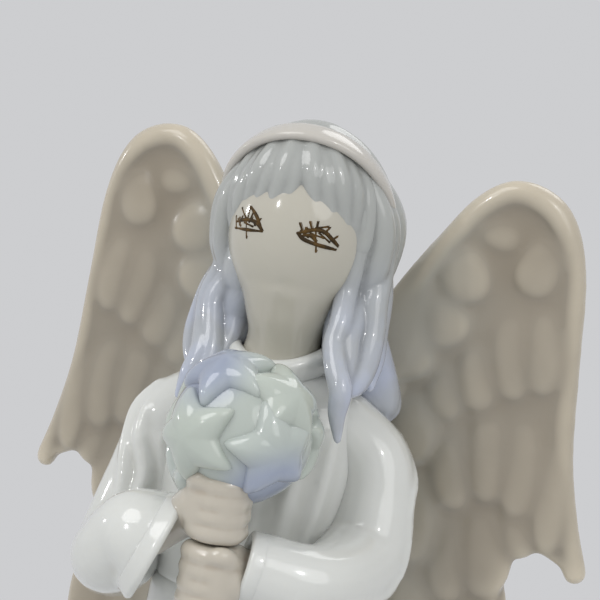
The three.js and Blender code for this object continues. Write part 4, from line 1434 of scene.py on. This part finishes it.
class CuffsOperator(bpy.types.Operator):
    """Thin cuffs round the sleeves' ends"""

    bl_idname = "angel.cuffs"
    bl_label = "Cuffs"

    def execute(self, context):
        for name, arm in ARMS.items():
            line = sleeve_line(arm)
            way = (line[-1][0] - line[-3][0]).normalized()
            mouth = arm["wide"][2]
            deselect()
            bpy.ops.mesh.primitive_cylinder_add(
                vertices=64, radius=(mouth - CUFF_INSET) * MM, depth=size("cuff_length") * MM,
                end_fill_type="NOTHING")
            cuff = bpy.context.object
            flare = (line[-1][1] - line[-5][1]) / (line[-1][0] - line[-5][0]).length

            def spread(point):
                share = 1 + flare * point.z / mouth
                return (point.x * share, point.y * share, point.z)

            moved(cuff, spread)
            cuff.rotation_mode = "QUATERNION"
            cuff.rotation_quaternion = Vector((0, 0, 1)).rotation_difference(way)
            cuff.location = from_wrist(arm, "mouth") * MM
            bpy.ops.object.transform_apply()
            apply(cuff, "SOLIDIFY", thickness=CUFF_THICK * MM, offset=0.0)
            round_edges(cuff, CUFF_EDGE, segments=4)
            apply(cuff, "SUBSURF", levels=1, render_levels=1)
            piece = f"cuff_{name}"
            fired(cuff, f"glazed_{piece}", [piece], glaze("gown"), reach=6, depth=0.2)
        return {"FINISHED"}


# Hands: the fingers' places up the stem in finger pitches, the stops of a finger in degrees round the
# stem with shares of its radius, the half thickness of the hand at its root, middle and knuckles, the
# knuckles' place out and forward as shares of the grip, and of the palm inside the fingers: how far it
# fills them, how far it is out and taller, and how square.
FINGERS = (-1.5, -0.5, 0.5, 1.5)
FINGER_CURL = ((25, 1.05), (-35, 1.05), (-90, 1.05), (-145, 1.05), (-195, 0.85))
HAND_THICK = (2.5, 2.6, 3.3)
KNUCKLES = (0.7, 0.1)
PALM_FILL = 0.8
PALM_OUT = 0.3
PALM_TALLER = 0.35
PALM_SQUARE = 0.7


class HandsOperator(bpy.types.Operator):
    """Hands closed round the wand's stem"""

    bl_idname = "angel.hands"
    bl_label = "Hands"

    def execute(self, context):
        foot = wand_foot()
        finger = size("finger_radius")
        grip = size("stem_radius") + finger
        pitch = size("finger_pitch")
        tall = pitch * FINGERS[-1] + finger
        palm_half = grip + finger * PALM_FILL
        for name, arm in ARMS.items():
            side = arm["side"]

            def beside(out, forward, rise):
                return Vector((foot.x + side * out, foot.y - forward, arm["grip"] + rise))

            strands = []
            for n in FINGERS:
                curl = []
                for angle, share in FINGER_CURL:
                    a = math.radians(angle)
                    spot = beside(math.cos(a) * grip, -math.sin(a) * grip, n * pitch)
                    curl.append((spot, finger * share))
                strands.append(curl)
            root = from_wrist(arm, "hand")
            knuckles = beside(*(grip * share for share in KNUCKLES), 0)
            strands.append(list(zip((root, root.lerp(knuckles, 0.5), knuckles), HAND_THICK)))
            thumb = [
                (beside(grip + 0.3, 0.6, pitch), finger),
                (beside(grip * 0.8, grip, 1.7 * pitch), finger),
                (beside(grip * 0.2, grip * 1.1, 1.6 * pitch), finger * 0.8),
            ]
            strands.append(thumb)
            half = (palm_half, palm_half, tall + PALM_TALLER)
            palm = pellet(beside(PALM_OUT, 0, 0), half, square=PALM_SQUARE)
            hand = luted([palm, rolled(strands)], grain=0.22, soften=24)
            piece = f"hand_{name}"
            fired(hand, f"glazed_{piece}", [piece], glaze("hand"), depth=0.2)
        return {"FINISHED"}


# Wand: how far under the ball's middle the stem ends, its share of thickness halfway up, how far the
# ball's skin lies under its radius, how uneven the ball is, and for x, y and z the rate and the start
# of the waves that make it so.
STEM_DROP = 5
STEM_WAIST = 0.96
BALL_SINK = 0.4
BALL_SWELL = 0.12
BALL_WAVES = ((0.5, 1), (0.45, 2), (0.6, 0))


class WandOperator(bpy.types.Operator):
    """Wand's stem and the ball on it"""

    bl_idname = "angel.wand"
    bl_label = "Wand and ball"

    def execute(self, context):
        foot = wand_foot()
        radius = size("stem_radius")
        middle = ball_middle()
        low = foot + Vector((0, 0, radius))
        top = Vector((foot.x, foot.y, middle.z - STEM_DROP))
        stem = rolled([[(low, radius), (low.lerp(top, 0.5), radius * STEM_WAIST), (top, radius)]])
        fired(stem, "glazed_stem", ["wand_stem"], glaze("hand"), reach=4)

        ball = pellet(middle, [size("ball_radius") - BALL_SINK] * 3, segments=96, rings=64)

        def uneven(point):
            away = point - middle
            wave = 1.0
            for part, (rate, start) in zip(away, BALL_WAVES):
                wave *= math.sin(part * rate + start)
            return middle + away * (1 + BALL_SWELL * wave / away.length)

        moved(ball, uneven)
        fired(ball, "glazed_ball", ["star_ball"], glaze("ball"), reach=4)
        return {"FINISHED"}


# Stars: degrees round from the front, up, spin, and the glaze of each.
STARS = [
    (-22, 0, 26, "star"),
    (70, 40, -24, "star"),
    (-28, 66, -22, "blue_star"),
    (50, -2, 14, "blue_star"),
    (-118, 8, 36, "star"),
    (136, 0, 0, "star"),
    (-74, -58, 8, "blue_star"),
]
# Degrees over the ball from a star's middle to its tips and to its waists, degrees round it from a tip
# to a waist, how far the tips are rounded back and on what share of that way.
STAR_TIP = 48.0
STAR_WAIST = 26.0
HALF_POINT = 36
TIP_ROUNDING = 3.0
TIP_SHARE = 0.2
# How far a star is set into the ball, how far its middle stands over the relief, how steep its edge is,
# the share of the height that the edge has, and how the rest rises to the middle.
STAR_ROOT = 0.8
STAR_CROWN = 0.3
EDGE_POWER = 7
EDGE_SHARE = 0.62
DOME_POWER = 1.6
# Insets of a star's disc from its edge inwards, as shares of its radius.
STAR_INSETS = (0.04,) * 3 + (0.1,) * 8


def star_reach(turn):
    """How far a star reaches at a turn from one of its tips, with rounded tips."""
    share = abs((turn + HALF_POINT) % (2 * HALF_POINT) - HALF_POINT) / HALF_POINT
    a = math.radians(HALF_POINT)
    edge = STAR_WAIST * math.sin(a * (1 - share)) + STAR_TIP * math.sin(a * share)
    straight = STAR_TIP * STAR_WAIST * math.sin(a) / edge
    return straight - TIP_ROUNDING * max(0.0, 1 - share / TIP_SHARE) ** 2


def star_height(share):
    """The height of a star, from 1 in its middle to 0 at its edge, by the share of that way."""
    dome = EDGE_SHARE + (1 - EDGE_SHARE) * (1 - share ** DOME_POWER)
    return math.sqrt(1 - share ** EDGE_POWER) * dome


class StarsOperator(bpy.types.Operator):
    """Raised stars laid over the ball"""

    bl_idname = "angel.stars"
    bl_label = "Stars"

    def execute(self, context):
        radius = size("ball_radius")
        relief = size("star_relief") + STAR_CROWN
        middle = ball_middle()
        for number, (round_, up, spin, finish) in enumerate(STARS, 1):
            out = Vector(bearing(round_, up))
            across = Vector(bearing(round_ + 90, 0))
            upward = out.cross(across)
            deselect()
            bpy.ops.mesh.primitive_circle_add(vertices=120, radius=1, fill_type="NGON")
            star = bpy.context.object
            with editing():
                for inset in STAR_INSETS:
                    bpy.ops.mesh.inset(thickness=inset)
                bpy.ops.mesh.poke()

            def lay(point):
                share = min(math.hypot(point.x, point.y) * MM, 1.0)
                turn = math.degrees(math.atan2(point.y, point.x)) - 90
                reach = math.radians(star_reach(turn)) * share
                heading = math.radians(turn + 90 + spin)
                way = across * math.cos(heading) + upward * math.sin(heading)
                way = way * math.sin(reach) + out * math.cos(reach)
                return middle + way * (radius - STAR_ROOT + (relief + STAR_ROOT) * star_height(share))

            moved(star, lay)
            apply(star, "SMOOTH", factor=0.5, iterations=6)
            name = f"star_{number}"
            fired(star, f"glazed_{name}", [name], glaze(finish), reach=16, depth=0.3)
        return {"FINISHED"}


# Wings: the rim's line from the root over the top to the point, and the blade's lower edge back to the
# root, outward from the middle of the figure and up from the shoulder.
WING_EDGE = [
    (5, 5), (12.4, 15), (17.6, 24.2), (21.4, 29.2), (25.2, 31), (29.8, 28.8), (32.8, 22), (33.8, 10),
    (34.8, -2), (36.8, -11), (38.9, -17.4),
]
BLADE_END = [(38.2, -17), (35, -15.4), (31, -14.6), (30, -22), (28, -35), (18, -38), (9, -28), (4, -20)]
# Feathers: middle, half width, half length, lean in degrees and share of the feather depth.
FEATHERS = [
    (16.2, 17.0, 4.0, 13.6, -31, 1.0), (23.4, 26.2, 3.4, 2.6, -10, 0.9),
    (19.0, 20.2, 3.3, 4.1, 24, 1.24), (16.8, 14.2, 3.5, 4.3, 30, 1.24), (12.8, 9.0, 3.5, 4.2, 30, 1.24),
    (9.0, 4.0, 3.6, 4.6, 20, 1.1),
    (29.2, 23.4, 3.0, 4.6, -14, 1.05), (31.0, 13.0, 2.6, 6.4, 6, 1.05), (27.0, 12.2, 2.9, 6.8, 8, 1.0),
    (22.9, 8.0, 2.9, 5.4, 8, 1.0), (19.0, 5.0, 2.7, 4.8, 8, 0.95),
    (34.0, -4.2, 2.2, 9.2, 9, 1.0), (30.1, -2.0, 3.0, 8.0, 8, 1.05), (25.8, -1.8, 2.9, 7.0, 8, 1.1),
    (21.3, -3.8, 2.9, 6.8, 8, 1.05), (15.8, -0.4, 3.3, 5.4, 5, 1.1), (11.2, -6.2, 3.3, 6.0, 2, 1.1),
    (31.0, -11.0, 2.4, 4.8, 9, 0.9), (26.8, -13.8, 3.1, 7.6, 8, 0.95), (22.3, -15.4, 3.0, 7.6, 7, 0.95),
    (17.3, -11.4, 3.2, 7.6, 6, 1.05), (12.6, -15.4, 3.1, 7.2, 4, 1.0), (8.0, -15.0, 3.2, 7.4, 0, 1.0),
    (17.9, -22.0, 3.0, 7.4, 6, 0.95), (8.4, -23.6, 3.1, 7.0, 0, 0.95), (13.0, -25.6, 3.0, 7.0, 3, 0.95),
    (28.1, -31.0, 3.0, 11.4, 5, 0.95), (23.3, -32.6, 3.1, 12.0, 5, 0.95),
    (18.4, -33.2, 3.1, 11.4, 3, 0.95), (13.5, -31.0, 3.1, 10.2, 1, 0.95),
    (8.9, -27.0, 3.0, 7.8, -2, 0.95),
]
# How much wider and longer a feather is pressed, how square it is, and the tilt of its tip in degrees.
FEATHER_WIDER = 1.36
FEATHER_LONGER = 1.2
FEATHER_SQUARE = 0.84
FEATHER_TILT = -6.5
# Rim: how far its outer edge lies outside its line, its share of thickness down the outer side, how many
# points of the line come before that side, and how many the blade shares.
RIM_OUT = 2.5
RIM_THINS = 0.8
RIM_TOP = 6
RIM_SHARED = 10
# Place of the wings behind the figure, how far the tips sweep back, and the lump that joins a wing to
# the back: its middle from the shoulder, and its half sizes.
WING_BACK = 13.1
WING_SWEEP = 3.0
WING_ROOT = (4.8, -2.6, -8.8)
ROOT_HALF = (4.2, 3.4, 11)


class WingsOperator(bpy.types.Operator):
    """Feathered wings with a rolled rim"""

    bl_idname = "angel.wings"
    bl_label = "Wings"

    def execute(self, context):
        rim = size("wing_rim") / 2
        blade_half = size("wing_blade") / 2
        depth = size("feather_depth") / 2
        for side, name in ((1, "wing_left"), (-1, "wing_right")):
            stops = []
            for i, (x, z) in enumerate(WING_EDGE):
                a = WING_EDGE[max(i - 1, 0)]
                b = WING_EDGE[min(i + 1, len(WING_EDGE) - 1)]
                along = Vector((b[0] - a[0], b[1] - a[1])).normalized()
                out = Vector((-along.y, along.x)) * (RIM_OUT - rim)
                thin = 1.0 if i < RIM_TOP else RIM_THINS
                stops.append(((side * (x + out.x), 0, SHOULDER + z + out.y), rim * thin))
            parts = [rolled([stops])]
            outline = [*WING_EDGE[:RIM_SHARED], *BLADE_END]
            points = [(side * x, blade_half, SHOULDER + z) for x, z in outline]
            blade = meshed("blade", points, [tuple(range(len(points)))])
            with editing():
                through = (0, -2 * blade_half * MM, 0)
                bpy.ops.mesh.extrude_region_move(TRANSFORM_OT_translate={"value": through})
                bpy.ops.mesh.select_all(action="SELECT")
                bpy.ops.mesh.normals_make_consistent(inside=False)
            parts.append(blade)
            for x, z, wide, tall, lean, share in FEATHERS:
                turn = (math.radians(FEATHER_TILT), math.radians(-lean) * side, 0)
                half = (wide * FEATHER_WIDER, depth * share, tall * FEATHER_LONGER)
                middle = (side * x, 0, SHOULDER + z)
                feather = pellet(middle, half, turn, segments=24, rings=16, square=FEATHER_SQUARE)
                parts.append(feather)
            x, y, z = WING_ROOT
            parts.append(pellet((side * x, y, SHOULDER + z), ROOT_HALF))
            wing = luted(parts, grain=0.34, soften=30)
            reach = WING_EDGE[-1][0]
            moved(wing, lambda p: (p.x, p.y + WING_BACK + WING_SWEEP * (p.x / reach) ** 2, p.z))
            fired(wing, f"glazed_{name}", [name], glaze("wing"), reach=40, depth=0.62)
        return {"FINISHED"}


# Stage, in metres: the floor's radius, how far under the foot it lies, and where it fades out and is
# whole, measured from the middle.
FLOOR_RADIUS = 0.8
FLOOR_DROP = 0.0002
FLOOR_FADE = (0.29, 0.08)
# Light that the world sheds, and the background that is seen.
WORLD_LIGHT = (0.68, 0.685, 0.69)
BACKGROUND = (0.61, 0.615, 0.63)
# Lamps: the point that they face, then for each the degrees round from the front and up, its distance
# and width in metres, and its watts.
LAMP_AIM = Vector((0.0, -0.005, 0.11))
LAMPS = {
    "key": (-38, 48, 0.9, 0.55, 2.2),
    "fill": (55, 35, 1.0, 0.7, 1.7),
    "spark_left": (-28, 24, 0.7, 0.03, 0.4),
    "spark_right": (48, 40, 0.75, 0.03, 0.4),
    "spark_side": (-84, 8, 0.7, 0.04, 0.3),
    "back": (165, 50, 0.9, 0.5, 1.2),
}
# Camera: degrees round from the front and up, roll in degrees, distance in metres, aim in millimetres
# and focal length.
CAMERA_BEARING = (19, 8)
CAMERA_ROLL = 8
CAMERA_AWAY = 0.28
CAMERA_AIM = Vector((1.2, 0.4, 126.4))
FOCAL_LENGTH = 129.4


class StageOperator(bpy.types.Operator):
    """Pale floor, soft studio light and the camera"""

    bl_idname = "angel.stage"
    bl_label = "Stage"

    def execute(self, context):
        scene = context.scene
        scene.view_settings.view_transform = "Standard"
        deselect()
        bpy.ops.mesh.primitive_circle_add(
            vertices=128, radius=FLOOR_RADIUS, fill_type="NGON", location=(0, 0, -FLOOR_DROP))
        floor = bpy.context.object
        floor.name = "floor"
        bpy.ops.object.transform_apply()
        paint = new_paint("floor_paint")
        shade = colour("floor")
        body = paint.mix(paint.clouds(3, 2), shade, shaded(shade, 0.985))
        paint.feed(paint.shader.inputs["Base Color"], body)
        paint.shader.inputs["Roughness"].default_value = 0.7
        fade = paint.ease(paint.away((0, 0, 0)), *FLOOR_FADE)
        paint.feed(paint.shader.inputs["Alpha"], 1 - paint.seen() * (1 - fade))
        floor.data.materials.append(paint.owner)

        scene.world = bpy.data.worlds.new("studio")
        sky = Paint(scene.world, "Background")
        sky.feed(sky.shader.inputs["Color"], sky.mix(sky.seen(), WORLD_LIGHT, BACKGROUND))

        for name, (round_, up, far, wide, power) in LAMPS.items():
            light = bpy.data.lights.new(name, "AREA")
            light.energy = power
            light.shape = "DISK"
            light.size = wide
            lamp = bpy.data.objects.new(name, light)
            way = Vector(bearing(round_, up))
            lamp.location = LAMP_AIM + way * far
            lamp.rotation_euler = way.to_track_quat("Z", "Y").to_euler()
            scene.collection.objects.link(lamp)

        lens = bpy.data.cameras.new("camera")
        lens.lens = FOCAL_LENGTH
        lens.clip_start = 0.01
        camera = bpy.data.objects.new("camera", lens)
        back = Vector(bearing(*CAMERA_BEARING))
        roll = Matrix.Rotation(math.radians(CAMERA_ROLL), 3, "Z").to_quaternion()
        camera.location = CAMERA_AIM * MM + back * CAMERA_AWAY
        camera.rotation_euler = (back.to_track_quat("Z", "Y") @ roll).to_euler()
        scene.collection.objects.link(camera)
        scene.camera = camera
        return {"FINISHED"}


OPERATORS = (
    StageOperator,
    FootOperator,
    SkirtOperator,
    BodiceOperator,
    HeadOperator,
    LashesOperator,
    HairCrownOperator,
    HeadbandOperator,
    FringeOperator,
    LocksOperator,
    BackHairOperator,
    SleevesOperator,
    CuffsOperator,
    HandsOperator,
    WandOperator,
    StarsOperator,
    WingsOperator,
)


class AngelPanel(bpy.types.Panel):
    """Pieces of the figurine, its sizes and its glazes"""

    bl_idname = "VIEW3D_PT_angel"
    bl_label = "Glazed Ceramic Angel"
    bl_space_type = "VIEW_3D"
    bl_region_type = "UI"
    bl_category = "Angel"

    def draw(self, context):
        for operator in OPERATORS:
            self.layout.operator(operator.bl_idname)
        for group in (context.scene.angel_sizes, context.scene.angel_glazes):
            box = self.layout.box()
            for name in group.bl_rna.properties.keys():
                if name not in ("rna_type", "name"):
                    box.prop(group, name)


CLASSES = (AngelSizes, AngelGlazes, *OPERATORS, AngelPanel)


def register():
    for part in CLASSES:
        bpy.utils.register_class(part)
    bpy.types.Scene.angel_sizes = bpy.props.PointerProperty(type=AngelSizes)
    bpy.types.Scene.angel_glazes = bpy.props.PointerProperty(type=AngelGlazes)


def unregister():
    del bpy.types.Scene.angel_glazes
    del bpy.types.Scene.angel_sizes
    for part in reversed(CLASSES):
        bpy.utils.unregister_class(part)


def main():
    register()
    for operator in OPERATORS:
        group, name = operator.bl_idname.split(".")
        getattr(getattr(bpy.ops, group), name)()


if __name__ == "__main__":
    main()
